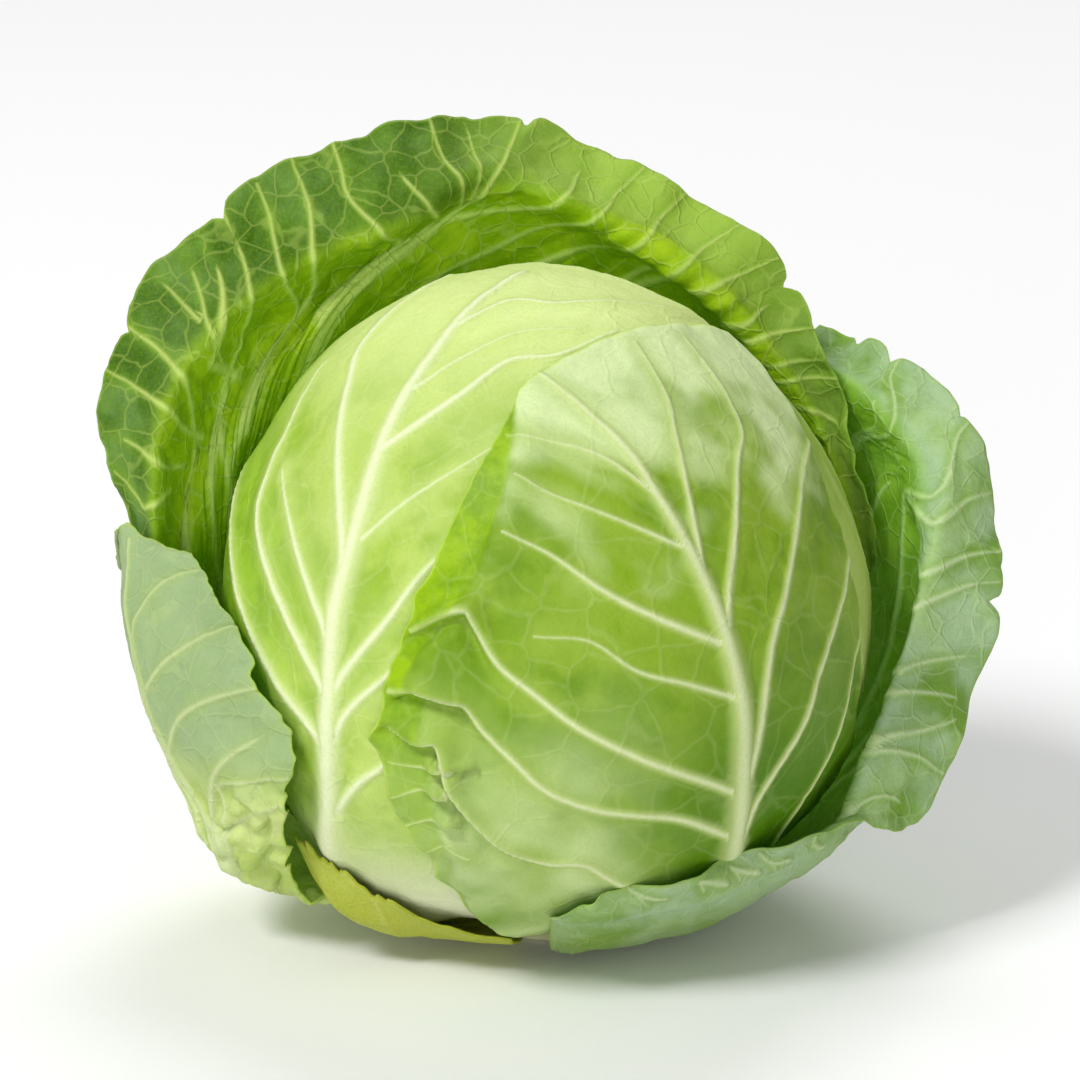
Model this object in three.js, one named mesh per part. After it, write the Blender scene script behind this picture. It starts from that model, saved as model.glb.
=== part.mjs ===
// A cabbage head with its loose outer leaves, standing on its cut stem.
// Millimetres, +Z up, the front towards -Y. Every leaf is drawn round the centre of the head,
// and the whole head is then set down with its middle over the origin and its stem on the ground.
import * as THREE from 'three';

// Driving dimensions
const HEAD_RADIUS = 84;
const HEAD_UNDERSIDE = 78;
const UNDERSIDE_ROUNDING = 6;
const SHOULDER_DENT = { azimuth: 90, elevation: 32, share: 0.075, sharpness: 4 };
const GROUND_BELOW_CENTRE = 86;
const LAYER_PITCH = 1.8;
const WRAPPER_THICKNESS = 1.0;
const OUTER_THICKNESS = 1.2;
const LEAF_BASE_THICKNESS = 2.6;
const LEAF_BASE_SHARE = 0.3;
const STEM_RADIUS = 19;
const STEM_TOP_RADIUS = 17.5;
const STEM_TOP_BELOW_CENTRE = 69.5;
const STEM_EDGE_ROUNDING = 1.5;
const STEM_SIDES = 28;
const HEART_LAYER = 5.6;
const HEART_SIDES = 24;
const HEART_RINGS = 14;

// Where the outer leaves show, their points are given as they look from 1 m in front, 15 degrees up:
// millimetres right and up of the head's centre, and depth behind it.
const VIEW_DISTANCE = 1000;
const VIEW_TILT = THREE.MathUtils.degToRad(15);
const VIEW_AXIS = { right: -2.5, up: 13 };

const NORMAL_STEP = 1e-3;

// A direction on the head: azimuth from the front, positive to the right, and elevation, in degrees
function direction(azimuth, elevation) {
  const a = THREE.MathUtils.degToRad(azimuth);
  const e = THREE.MathUtils.degToRad(elevation);
  return [Math.cos(e) * Math.sin(a), -Math.cos(e) * Math.cos(a), Math.sin(e)];
}

function polar([azimuth, elevation, radius]) {
  return direction(azimuth, elevation).map((x) => x * radius);
}

function seen([right, up, depth]) {
  const spread = (VIEW_DISTANCE + depth) / VIEW_DISTANCE;
  const x = VIEW_AXIS.right + (right - VIEW_AXIS.right) * spread;
  const rise = VIEW_AXIS.up + (up - VIEW_AXIS.up) * spread;
  const c = Math.cos(VIEW_TILT);
  const s = Math.sin(VIEW_TILT);
  return [x, depth * c + rise * s, rise * c - depth * s];
}

const polarRow = (...points) => points.map(polar);
const seenRow = (...points) => points.map(seen);

// Outer radius of the compact head: a ball with a flattened underside and a flatter right shoulder
function headRadius(dir) {
  let radius = HEAD_RADIUS;
  if (dir.z < 0) {
    const flat = HEAD_UNDERSIDE / Math.max(-dir.z, 1e-3);
    const h = THREE.MathUtils.clamp(0.5 + (flat - radius) / (2 * UNDERSIDE_ROUNDING), 0, 1);
    radius = radius * h + flat * (1 - h) - UNDERSIDE_ROUNDING * h * (1 - h);
  }
  const { azimuth, elevation, share, sharpness } = SHOULDER_DENT;
  const towards = Math.max(dir.dot(new THREE.Vector3(...direction(azimuth, elevation))), 0);
  return radius * (1 - share * towards ** sharpness);
}

// Smooth curve through a list of points, s from 0 to 1
function alongSpline(points, s) {
  const last = points.length - 1;
  const x = s * last;
  const i = THREE.MathUtils.clamp(Math.floor(x), 0, last - 1);
  const f = x - i;
  const mirrored = (a, b) => a.map((value, k) => 2 * value - b[k]);
  const before = i > 0 ? points[i - 1] : mirrored(points[0], points[1]);
  const after = i + 2 <= last ? points[i + 2] : mirrored(points[last], points[last - 1]);
  const weights = [
    -f + 2 * f ** 2 - f ** 3,
    2 - 5 * f ** 2 + 3 * f ** 3,
    f + 4 * f ** 2 - 3 * f ** 3,
    -(f ** 2) + f ** 3,
  ];
  const near = [before, points[i], points[i + 1], after];
  return points[i].map((_, k) => near.reduce((sum, p, n) => sum + p[k] * weights[n], 0) / 2);
}

// Smooth surface through rows of points: t runs from the leaf's base to its tip, v from side to side
function onSheet(rows, t, v) {
  return alongSpline(rows.map((row) => alongSpline(row, v)), t);
}

// A leaf of the compact head, wrapped round it. Its points are azimuth, elevation and lift,
// and its layer counts inwards from the outermost leaf.
function wrappedSurface(rows, layer) {
  const guide = rows.map((row) => row.map(([az, el, lift]) => [...direction(az, el), lift]));
  return (t, v) => {
    const [x, y, z, lift] = onSheet(guide, t, v);
    const dir = new THREE.Vector3(x, y, z).normalize();
    return dir.multiplyScalar(headRadius(dir) - layer * LAYER_PITCH + lift);
  };
}

function looseSurface(rows) {
  return (t, v) => new THREE.Vector3(...onSheet(rows, t, v));
}

function normalAt(surface, t, v) {
  const acrossLeaf = surface(t, v + NORMAL_STEP).sub(surface(t, v - NORMAL_STEP));
  const alongLeaf = surface(t + NORMAL_STEP, v).sub(surface(t - NORMAL_STEP, v));
  return acrossLeaf.cross(alongLeaf).normalize();
}

// How far a ruffled edge stands off the leaf's smooth surface
function ruffleHeight(ruffles, t, v) {
  const closeness = { tip: t, left: 1 - v, right: v };
  const along = { tip: v, left: t, right: t };
  let height = 0;
  for (const { edge, reach, size, waves, shift = 0 } of ruffles) {
    const near = THREE.MathUtils.smoothstep(closeness[edge], 1 - reach, 1);
    const turn = 2 * Math.PI * (waves * along[edge] + shift);
    const beat = 2 * Math.PI * (0.37 * waves * along[edge] - shift);
    height += near * size * (Math.sin(turn) + 0.5 * Math.sin(beat)) / 1.5;
  }
  return height;
}

// A closed leaf: the surface offset to both sides, with the same triangles on both faces and a rim
function leafGeometry(surface, { along, across, thickness, base = thickness, ruffles = [] }) {
  const faces = [[], []];
  for (let i = 0; i <= along; i++) {
    for (let j = 0; j <= across; j++) {
      const t = i / along;
      const v = j / across;
      const normal = normalAt(surface, t, v);
      const middle = surface(t, v).addScaledVector(normal, ruffleHeight(ruffles, t, v));
      const thin = THREE.MathUtils.smoothstep(t, 0, LEAF_BASE_SHARE);
      const half = THREE.MathUtils.lerp(base, thickness, thin) / 2;
      faces[0].push(middle.clone().addScaledVector(normal, half));
      faces[1].push(middle.clone().addScaledVector(normal, -half));
    }
  }
  const width = across + 1;
  const count = width * (along + 1);
  const indices = [];
  const quad = (a, b, c, d) => indices.push(a, b, c, a, c, d);
  for (let i = 0; i < along; i++) {
    for (let j = 0; j < across; j++) {
      const a = i * width + j;
      const corners = [a, a + 1, a + 1 + width, a + width];
      quad(...corners);
      const [p, q, r, s] = corners.map((k) => k + count);
      indices.push(p, r, q, p, s, r);
    }
  }
  const rim = (a, b) => quad(a, a + count, b + count, b);
  for (let j = 0; j < across; j++) {
    rim(j, j + 1);
    rim(along * width + j + 1, along * width + j);
  }
  for (let i = 0; i < along; i++) {
    rim((i + 1) * width, i * width);
    rim(i * width + across, (i + 1) * width + across);
  }
  const geometry = new THREE.BufferGeometry().setFromPoints([...faces[0], ...faces[1]]);
  geometry.setIndex(indices);
  geometry.computeVertexNormals();
  return geometry;
}

// The closed inner head, a ball of the same form as the leaves round it
function heartGeometry() {
  const geometry = new THREE.SphereGeometry(1, HEART_SIDES, HEART_RINGS);
  geometry.rotateX(Math.PI / 2);
  const position = geometry.attributes.position;
  const dir = new THREE.Vector3();
  for (let i = 0; i < position.count; i++) {
    dir.fromBufferAttribute(position, i).normalize();
    const radius = headRadius(dir) - HEART_LAYER * LAYER_PITCH;
    position.setXYZ(i, dir.x * radius, dir.y * radius, dir.z * radius);
  }
  geometry.computeVertexNormals();
  return geometry;
}

// The stump of the stem, cut flat where it stands
function stemGeometry() {
  const height = GROUND_BELOW_CENTRE - STEM_TOP_BELOW_CENTRE;
  const profile = [
    new THREE.Vector2(0, 0),
    new THREE.Vector2(STEM_RADIUS - STEM_EDGE_ROUNDING, 0),
    new THREE.Vector2(STEM_RADIUS, STEM_EDGE_ROUNDING),
    new THREE.Vector2(STEM_TOP_RADIUS, height - STEM_EDGE_ROUNDING),
    new THREE.Vector2(STEM_TOP_RADIUS - STEM_EDGE_ROUNDING, height),
    new THREE.Vector2(0, height),
  ];
  const geometry = new THREE.LatheGeometry(profile, STEM_SIDES);
  geometry.rotateX(Math.PI / 2);
  geometry.translate(0, 0, -GROUND_BELOW_CENTRE);
  return geometry;
}

// Leaves of the compact head, rows from base to tip: azimuth, elevation, lift
const FRONT_RIGHT_WRAPPER = [
  [[14, -74, 0], [52, -74, 0], [92, -74, 0]],
  [[-13, -62, 1.4], [60, -54, 0], [84, -50, 0]],
  [[-23, -38, 2.3], [40, -26, 0.5], [72, -24, 0]],
  [[-29.8, -14, 1.4], [31, 0, 0.5], [65, 0, 0]],
  [[-25.5, 2, 1.4], [28, 15, 0.5], [66, 20, 0]],
  [[-20, 18, 1.2], [25, 28, 0.5], [74, 38, 0]],
  [[-14, 36, 0], [14, 41, 0], [80, 50, 0]],
  [[-9, 45, 0], [-1.5, 54, 0], [84, 57, 0]],
];
const FRONT_LEFT_WRAPPER = [
  [[-85, -73, 0], [-50, -74, 0], [-20, -73, 0]],
  [[-100, -52, 4], [-52, -52, 4.5], [-8, -55, 0]],
  [[-118, -28, 1], [-43, -24, 1], [5, -30, 0]],
  [[-130, 0, 0], [-39, 8, 0], [18, 0, 0]],
  [[-140, 30, 0], [-38, 38, 0], [35, 25, 0]],
  [[-148, 52, 0], [-38, 66, 0], [60, 45, 0]],
  [[-150, 60, 0], [-170, 79, 0], [88, 56, 0]],
];
const RIGHT_WRAPPER = [
  [[78, -74, 0], [110, -74, 0], [150, -74, 0], [180, -74, 0]],
  [[60, -54, 0], [115, -52, 3], [155, -54, 2], [-162, -56, 0]],
  [[50, -26, 0], [106, -24, 3.4], [155, -26, 2.5], [-155, -28, 0]],
  [[48, 0, 0], [104, 2, 3.4], [155, 4, 2.5], [-150, 0, 0]],
  [[52, 30, 0], [108, 28, 2.6], [158, 32, 2], [-148, 30, 0]],
  [[76, 52, 0], [118, 54, 0.5], [165, 58, 0.5], [-140, 52, 0]],
];
const BACK_WRAPPER = [
  [[150, -74, 0], [-165, -74, 0], [-120, -74, 0]],
  [[120, -56, 0], [-172, -54, 0], [-104, -56, 0]],
  [[105, -28, 0], [-178, -20, 0], [-98, -28, 0]],
  [[100, 4, 0], [178, 12, 0], [-96, 4, 0]],
  [[80, 38, 0], [176, 46, 0], [-98, 36, 0]],
  [[45, 62, 0], [150, 80, 0], [-110, 66, 0]],
];
const LEFT_WRAPPER = [
  [[-150, -74, 0], [-112, -74, 0], [-80, -74, 0]],
  [[-168, -54, 0], [-114, -54, 0], [-62, -54, 0]],
  [[-172, -24, 0], [-116, -20, 0], [-54, -24, 0]],
  [[-172, 8, 0], [-116, 14, 0], [-50, 8, 0]],
  [[-170, 38, 0], [-114, 46, 0], [-52, 38, 0]],
  [[-160, 60, 0], [-80, 80, 0], [-20, 66, 0]],
];

// Loose outer leaves. The large leaf behind, a hood with its rim turned outwards
const BACK_LEAF = [
  polarRow([-120, -75.5, 84.5], [-124, -75.5, 84.5], [-128, -75.5, 84.5], [-132, -75.5, 84.5],
    [-136, -75.5, 84.5], [-140, -75.5, 84.5], [-144, -75.5, 84.5], [-148, -75.5, 84.5],
    [-152, -75.5, 84.5], [-157, -75.5, 84.5], [-162, -75.5, 84.5]),
  polarRow([-100, -55, 89], [-103, -52, 89], [-108, -50, 89], [-113, -48, 89], [-119, -46, 89],
    [-125, -45, 89], [-135, -46, 89], [-148, -48, 89], [-162, -50, 89], [-182, -55, 89],
    [-205, -60, 89]),
  polarRow([-95, -38, 90], [-98, -25, 90], [-105, -18, 89], [-112, -12, 89], [-118, -8, 89],
    [-125, -5, 89], [-140, -10, 89], [-160, -15, 89], [-182, -22, 89], [-205, -33, 89],
    [-225, -45, 89]),
  polarRow([-92, -22, 92], [-94, 0, 91], [-101, 15, 90], [-108, 26, 89.5], [-114, 34, 89.5],
    [-122, 40, 89.5], [-148, 32, 89], [-175, 24, 89], [-200, 14, 89], [-225, 0, 89],
    [-238, -22, 89]),
  seenRow([-93, -12, 3], [-92, 25, 8], [-81, 52, 14], [-60, 73, 24], [-42, 84, 29], [-28, 92, 33],
    [-5, 88, 38], [25, 78, 40], [47, 58, 47], [64, 33, 52], [78, 2, 40]),
  seenRow([-97, -5, -2], [-98, 36, -6], [-87, 61, -2], [-64, 81, 8], [-37, 93, 14], [-14, 104, 22],
    [12, 92, 24], [35, 77, 26], [53, 59, 33], [70, 34, 36], [80, 5, 34]),
  seenRow([-99, -3, -2], [-105, 40, -4], [-95, 69, 0], [-70, 91, 10], [-39, 104, 18],
    [-10, 111, 27], [18, 99, 30], [44, 82, 30], [61, 61, 31], [74, 35, 32], [81, 6, 32]),
  seenRow([-100, -2, 0], [-111.75, 43, 2], [-102.5, 75.5, 5], [-75, 101.75, 15], [-40, 116, 25],
    [-7, 118.5, 33], [25, 105, 36], [53.75, 86.75, 32], [68, 61.75, 28], [77, 35.5, 28],
    [82, 8, 30]),
];
// The right leaf, from its far upper corner round to the lip under the front of the head
const RIGHT_LEAF = [
  polarRow([98, -75.5, 84.5], [94, -75.5, 84.5], [90, -75.5, 84.5], [86, -75.5, 84.5],
    [81, -75.5, 84.5], [76, -75.5, 84.5], [71, -75.5, 84.5], [66, -75.5, 84.5],
    [60, -75.5, 84.5], [54, -75.5, 84.5], [46, -75.5, 84.5], [36, -75.5, 84.5],
    [26, -75.5, 84.5]),
  polarRow([122, -56, 92], [116, -54, 92], [110, -52, 92], [104, -51, 92], [96, -51, 91],
    [88, -52, 91], [80, -54, 90], [74, -58, 89.5], [67, -61, 89], [58, -65, 88.5],
    [44, -68, 88], [28, -70, 87.6], [12, -71, 87.6]),
  polarRow([140, -26, 95], [130, -22, 95], [120, -20, 95], [110, -19, 95], [99, -22, 95],
    [88, -28, 94], [78, -38, 93], [75, -44, 91], [64, -53, 90.2], [52, -60, 90],
    [32, -65, 88.6], [12, -67, 88.2], [2, -67, 88]),
  polarRow([150, 10, 97], [136, 14, 97], [121, 13, 97], [107, 7, 97], [96, -4, 98],
    [87, -17, 98], [80, -29, 97], [71, -39, 95], [58, -48, 91.5], [46, -55, 91],
    [22, -61, 89.4], [8, -62.5, 88.8], [0, -63.5, 88.4]),
  seenRow([58, 58, 56], [79, 47, 28], [95.5, 30, 10], [95.3, 14, 0], [92, -3, -8], [86, -24, -16],
    [79, -43, -22], [71, -62, -22], [54, -71.5, -30], [38.5, -78.5, -36], [17, -82.5, -40],
    [8, -83, -40], [0, -82.5, -38]),
  seenRow([62, 62, 57], [82.5, 55, 31], [100.5, 40, 14], [104, 18, 6], [103, -1, -1],
    [97, -26, -10], [88, -47, -17], [73, -58, -24], [54, -67.5, -35], [38.5, -74, -42],
    [17.5, -78.5, -46], [8, -80.5, -46], [0, -80.5, -45.5]),
  seenRow([67.5, 66.75, 57], [85, 61, 34], [104, 45.5, 20], [111, 18, 14], [112.5, -3, 6],
    [105, -30, -4], [92, -57, -12], [76, -59, -26], [52.5, -64, -38], [37.5, -70, -45],
    [17.5, -74.5, -50], [8, -77, -51.5], [1, -78, -50]),
];
// The left leaf, cupping the lower left of the head, from its front edge to its back edge
const LEFT_LEAF = [
  polarRow([-66, -75.5, 86], [-71, -75.5, 86], [-77, -75.5, 86], [-84, -75.5, 86],
    [-91, -75.5, 86]),
  [...seenRow([-61, -74, -10], [-72, -72, -4], [-77, -66, 8]),
    ...polarRow([-95, -52, 95], [-112, -51, 97])],
  [...seenRow([-65, -54, -40], [-84, -54, -20], [-92, -48.5, 2]),
    ...polarRow([-104, -32, 102], [-122, -34, 99])],
  [...seenRow([-68, -33, -50], [-92, -32, -28], [-102, -28, -2]),
    ...polarRow([-104, -16, 105], [-122, -20, 101])],
  [...seenRow([-75, -15, -43], [-96, -13, -27], [-107, -6, -6]),
    ...polarRow([-101, -4, 106.5], [-114, -8, 104])],
  [...seenRow([-84, 0, -28], [-98, 3, -20], [-106.5, 8, -8]),
    ...polarRow([-94, 3, 109], [-99, 0, 108.5])],
  [...seenRow([-89, 9, -20], [-98, 12.5, -15], [-105.5, 16.75, -9]),
    ...polarRow([-88, 9, 109], [-89, 8, 109])],
];
// The base of a leaf that was trimmed away, under the front left of the head
const TRIMMED_LEAF_BASE = [
  polarRow([-54, -75.5, 84.5], [-49, -75.5, 84.5], [-42, -75.5, 84.5], [-34, -75.5, 84.5],
    [-27, -75.5, 84.5], [-18, -75.5, 84.5]),
  polarRow([-60, -60, 88], [-55, -59, 90], [-50, -60, 90], [-42, -62, 89.6], [-28, -65, 88],
    [-12, -67, 87.2]),
  polarRow([-62, -47, 92], [-56, -49, 95], [-50, -53, 94], [-42, -56.5, 90.6], [-28, -60, 89],
    [-12, -62, 88.3]),
  polarRow([-63, -37, 88.6], [-56, -39, 88.6], [-49, -43, 88.4], [-41, -49.5, 88.2],
    [-27, -55.5, 88.8], [-12, -59, 88.3]),
];

const INNER_GREEN = { color: 0xc9dc9a, roughness: 0.5, metalness: 0 };
const HEAD_GREEN = { color: 0xa9c668, roughness: 0.45, metalness: 0 };
const OUTER_GREEN = { color: 0x5f8f45, roughness: 0.55, metalness: 0 };
const STEM_GREEN = { color: 0xcfd6a0, roughness: 0.7, metalness: 0 };
const OLIVE = { color: 0x8f9a3c, roughness: 0.6, metalness: 0 };

function piece(name, geometry, finish) {
  const mesh = new THREE.Mesh(geometry, new THREE.MeshStandardMaterial(finish));
  mesh.name = name;
  return mesh;
}

function wrapperLeaf(name, rows, layer, size) {
  const surface = wrappedSurface(rows, layer);
  return piece(name, leafGeometry(surface, { ...size, thickness: WRAPPER_THICKNESS }), HEAD_GREEN);
}

function outerLeaf(name, rows, size, finish = OUTER_GREEN) {
  const shape = { ...size, thickness: OUTER_THICKNESS, base: LEAF_BASE_THICKNESS };
  return piece(name, leafGeometry(looseSurface(rows), shape), finish);
}

const head = new THREE.Group();
head.add(
  piece('stem', stemGeometry(), STEM_GREEN),
  piece('heart', heartGeometry(), INNER_GREEN),
  wrapperLeaf('wrapper_leaf_left', LEFT_WRAPPER, 4.4, { along: 14, across: 12 }),
  wrapperLeaf('wrapper_leaf_back', BACK_WRAPPER, 3, { along: 14, across: 13 }),
  wrapperLeaf('wrapper_leaf_right', RIGHT_WRAPPER, 2, { along: 14, across: 15 }),
  wrapperLeaf('wrapper_leaf_front_left', FRONT_LEFT_WRAPPER, 1, { along: 18, across: 15 }),
  wrapperLeaf('wrapper_leaf_front_right', FRONT_RIGHT_WRAPPER, -0.2, {
    along: 18,
    across: 15,
    ruffles: [{ edge: 'left', reach: 0.14, size: 1.3, waves: 6, shift: 0.1 }],
  }),
  outerLeaf('outer_leaf_back', BACK_LEAF, {
    along: 14,
    across: 44,
    ruffles: [{ edge: 'tip', reach: 0.3, size: 2.2, waves: 10, shift: 0.2 }],
  }),
  outerLeaf('outer_leaf_right', RIGHT_LEAF, {
    along: 12,
    across: 34,
    ruffles: [{ edge: 'tip', reach: 0.25, size: 1.8, waves: 8, shift: 0.6 }],
  }),
  outerLeaf('outer_leaf_left', LEFT_LEAF, {
    along: 13,
    across: 12,
    ruffles: [{ edge: 'left', reach: 0.25, size: 1.5, waves: 4, shift: 0.3 }],
  }),
  outerLeaf('trimmed_leaf_base', TRIMMED_LEAF_BASE, { along: 8, across: 12 }, OLIVE),
);

// Set the head down with the middle of its box over the origin and the stem's cut on the ground
const box = new THREE.Box3().setFromObject(head, true);
head.position.set(-(box.min.x + box.max.x) / 2, -(box.min.y + box.max.y) / 2, GROUND_BELOW_CENTRE);
const cabbage = new THREE.Group();
cabbage.add(head);

export default cabbage;
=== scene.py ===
import math

import bpy
import numpy as np
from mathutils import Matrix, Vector


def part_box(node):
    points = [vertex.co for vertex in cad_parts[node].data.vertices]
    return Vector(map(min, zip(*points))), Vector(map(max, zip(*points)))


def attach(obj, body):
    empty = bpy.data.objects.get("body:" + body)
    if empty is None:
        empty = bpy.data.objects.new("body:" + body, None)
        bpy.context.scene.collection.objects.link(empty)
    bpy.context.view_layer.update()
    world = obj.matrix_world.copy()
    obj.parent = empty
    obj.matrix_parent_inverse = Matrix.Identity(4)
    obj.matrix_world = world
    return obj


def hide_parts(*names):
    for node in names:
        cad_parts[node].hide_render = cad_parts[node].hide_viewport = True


# Sizes here are millimetres round the centre of the head until mesh_object turns them into metres.
MM = 0.001
HEAD_RADIUS = 84.0
HEAD_UNDERSIDE = 78.0
UNDERSIDE_ROUNDING = 6.0
SHOULDER_DENT = {"azimuth": 90.0, "elevation": 32.0, "share": 0.075, "sharpness": 4}
GROUND_BELOW_CENTRE = 86.0
LAYER_PITCH = 1.8
STEM_RADIUS = 19.0
STEM_TOP_RADIUS = 17.5
STEM_TOP_BELOW_CENTRE = 69.5
HEART_LAYER = 5.6
LEAF_GAP = 0.7
CORNER_REACH = 9.0
FOOT_ELEVATION = -75.5
FOOT_RADIUS = 84.5
RIPPLE_REACH = 7
QUILT_REACH = 6

# The viewpoint that the outer leaves are drawn from, and the camera's too
VIEW_DISTANCE = 1000.0
VIEW_TILT = math.radians(15.0)
VIEW_AXIS = (-2.5, 13.0)
VIEW_WIDTH = 270.0
SENSOR_WIDTH = 36.0

SEED = 7


# Points and directions

def direction(azimuth, elevation):
    a = math.radians(azimuth)
    e = math.radians(elevation)
    return np.array([math.cos(e) * math.sin(a), -math.cos(e) * math.cos(a), math.sin(e)])


def polar(point):
    azimuth, elevation, radius = point
    return direction(azimuth, elevation) * radius


def seen(point):
    right, up, depth = point
    spread = (VIEW_DISTANCE + depth) / VIEW_DISTANCE
    x = VIEW_AXIS[0] + (right - VIEW_AXIS[0]) * spread
    rise = VIEW_AXIS[1] + (up - VIEW_AXIS[1]) * spread
    c = math.cos(VIEW_TILT)
    s = math.sin(VIEW_TILT)
    return np.array([x, depth * c + rise * s, rise * c - depth * s])


def polar_row(*points):
    return [polar(p) for p in points]


def foot_row(*azimuths, radius=FOOT_RADIUS):
    """Where a loose leaf leaves the stump."""
    return [polar((azimuth, FOOT_ELEVATION, radius)) for azimuth in azimuths]


def seen_row(*points):
    return [seen(p) for p in points]


def unit(vectors):
    return vectors / np.maximum(np.linalg.norm(vectors, axis=-1, keepdims=True), 1e-9)


def smoothstep(x, low, high):
    t = np.clip((x - low) / (high - low), 0, 1)
    return t * t * (3 - 2 * t)


def head_radius(dirs):
    radius = np.full(dirs.shape[:-1], HEAD_RADIUS)
    flat = HEAD_UNDERSIDE / np.maximum(-dirs[..., 2], 1e-3)
    h = np.clip(0.5 + (flat - radius) / (2 * UNDERSIDE_ROUNDING), 0, 1)
    below = radius * h + flat * (1 - h) - UNDERSIDE_ROUNDING * h * (1 - h)
    radius = np.where(dirs[..., 2] < 0, below, radius)
    dent = direction(SHOULDER_DENT["azimuth"], SHOULDER_DENT["elevation"])
    towards = np.clip(dirs @ dent, 0, 1) ** SHOULDER_DENT["sharpness"]
    return radius * (1 - SHOULDER_DENT["share"] * towards)


# Smooth sheets through rows of points, as in the solids

def spline_weights(count, s):
    """Weights of the count points of a smooth curve at s, an array of values from 0 to 1."""
    x = np.asarray(s, float) * (count - 1)
    i = np.clip(np.floor(x).astype(int), 0, count - 2)
    f = x - i
    four = (
        -f + 2 * f**2 - f**3,
        2 - 5 * f**2 + 3 * f**3,
        f + 4 * f**2 - 3 * f**3,
        -(f**2) + f**3,
    )
    weights = np.zeros(x.shape + (count + 2,))
    for k, part in enumerate(four):
        np.put_along_axis(weights, (i + k)[..., None], part[..., None] / 2, -1)
    weights[..., 1] += 2 * weights[..., 0]
    weights[..., 2] -= weights[..., 0]
    weights[..., -2] += 2 * weights[..., -1]
    weights[..., -3] -= weights[..., -1]
    return weights[..., 1:-1]


def on_sheet(rows, t, v):
    rows = np.asarray(rows, float)
    wt = spline_weights(rows.shape[0], t)
    wv = spline_weights(rows.shape[1], v)
    return np.einsum("...i,...j,ijk->...k", wt, wv, rows, optimize=True)


def unit_grid(rows, columns):
    return np.meshgrid(np.linspace(0, 1, rows), np.linspace(0, 1, columns), indexing="ij")


def wrapped_surface(rows, layer):
    guide = [[np.append(direction(az, el), lift) for az, el, lift in row] for row in rows]

    def surface(t, v):
        found = on_sheet(guide, t, v)
        dirs = unit(found[..., :3])
        radius = head_radius(dirs) - layer * LAYER_PITCH + found[..., 3]
        return dirs * radius[..., None]

    return surface


def loose_surface(rows):
    return lambda t, v: on_sheet(rows, t, v)


# Seeded noise: smooth value noise on a lattice of random numbers

class Noise:
    SIZE = 64

    def __init__(self, seed):
        self.table = np.random.default_rng(seed).uniform(-1, 1, (self.SIZE, self.SIZE))

    def at(self, x, y):
        i = np.floor(x).astype(int)
        j = np.floor(y).astype(int)
        fx = x - i
        fy = y - j
        fx = fx * fx * (3 - 2 * fx)
        fy = fy * fy * (3 - 2 * fy)
        pick = lambda a, b: self.table[a % self.SIZE, b % self.SIZE]
        low = pick(i, j) * (1 - fx) + pick(i + 1, j) * fx
        high = pick(i, j + 1) * (1 - fx) + pick(i + 1, j + 1) * fx
        return low * (1 - fy) + high * fy

    def rough(self, x, y, octaves=3):
        total = sum(self.at(x * 2**k + 17 * k, y * 2**k + 31 * k) / 2**k for k in range(octaves))
        return total / 1.5


# Leaves of the compact head, rows from base to tip: azimuth, elevation, lift

FRONT_RIGHT_WRAPPER = [
    [(14, -74, 0), (52, -74, 0), (92, -74, 0)],
    [(-13, -62, 1.4), (60, -54, 0), (84, -50, 0)],
    [(-23, -38, 2.3), (40, -26, 0.5), (72, -24, 0)],
    [(-29.8, -14, 1.4), (31, 0, 0.5), (65, 0, 0)],
    [(-25.5, 2, 1.4), (28, 15, 0.5), (66, 20, 0)],
    [(-20, 18, 1.2), (25, 28, 0.5), (74, 38, 0)],
    [(-14, 36, 0), (14, 41, 0), (80, 50, 0)],
    [(-9, 45, 0), (-1.5, 54, 0), (84, 57, 0)],
]
FRONT_LEFT_WRAPPER = [
    [(-85, -73, 0), (-50, -74, 0), (-20, -73, 0)],
    [(-100, -52, 4), (-52, -52, 4.5), (-8, -55, 0)],
    [(-118, -28, 1), (-43, -24, 1), (5, -30, 0)],
    [(-130, 0, 0), (-39, 8, 0), (18, 0, 0)],
    [(-140, 30, 0), (-38, 38, 0), (35, 25, 0)],
    [(-148, 52, 0), (-38, 66, 0), (60, 45, 0)],
    [(-150, 60, 0), (-170, 79, 0), (88, 56, 0)],
]
RIGHT_WRAPPER = [
    [(78, -74, 0), (110, -74, 0), (150, -74, 0), (180, -74, 0)],
    [(60, -54, 0), (115, -52, 3), (155, -54, 2), (-162, -56, 0)],
    [(50, -26, 0), (106, -24, 3.4), (155, -26, 2.5), (-155, -28, 0)],
    [(48, 0, 0), (104, 2, 3.4), (155, 4, 2.5), (-150, 0, 0)],
    [(52, 30, 0), (108, 28, 2.6), (158, 32, 2), (-148, 30, 0)],
    [(76, 52, 0), (118, 54, 0.5), (165, 58, 0.5), (-140, 52, 0)],
]
BACK_WRAPPER = [
    [(150, -74, 0), (-165, -74, 0), (-120, -74, 0)],
    [(120, -56, 0), (-172, -54, 0), (-104, -56, 0)],
    [(105, -28, 0), (-178, -20, 0), (-98, -28, 0)],
    [(100, 4, 0), (178, 12, 0), (-96, 4, 0)],
    [(80, 38, 0), (176, 46, 0), (-98, 36, 0)],
    [(45, 62, 0), (150, 80, 0), (-110, 66, 0)],
]
LEFT_WRAPPER = [
    [(-150, -74, 0), (-112, -74, 0), (-80, -74, 0)],
    [(-168, -54, 0), (-114, -54, 0), (-62, -54, 0)],
    [(-172, -24, 0), (-116, -20, 0), (-54, -24, 0)],
    [(-172, 8, 0), (-116, 14, 0), (-50, 8, 0)],
    [(-170, 38, 0), (-114, 46, 0), (-52, 38, 0)],
    [(-160, 60, 0), (-80, 80, 0), (-20, 66, 0)],
]

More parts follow.
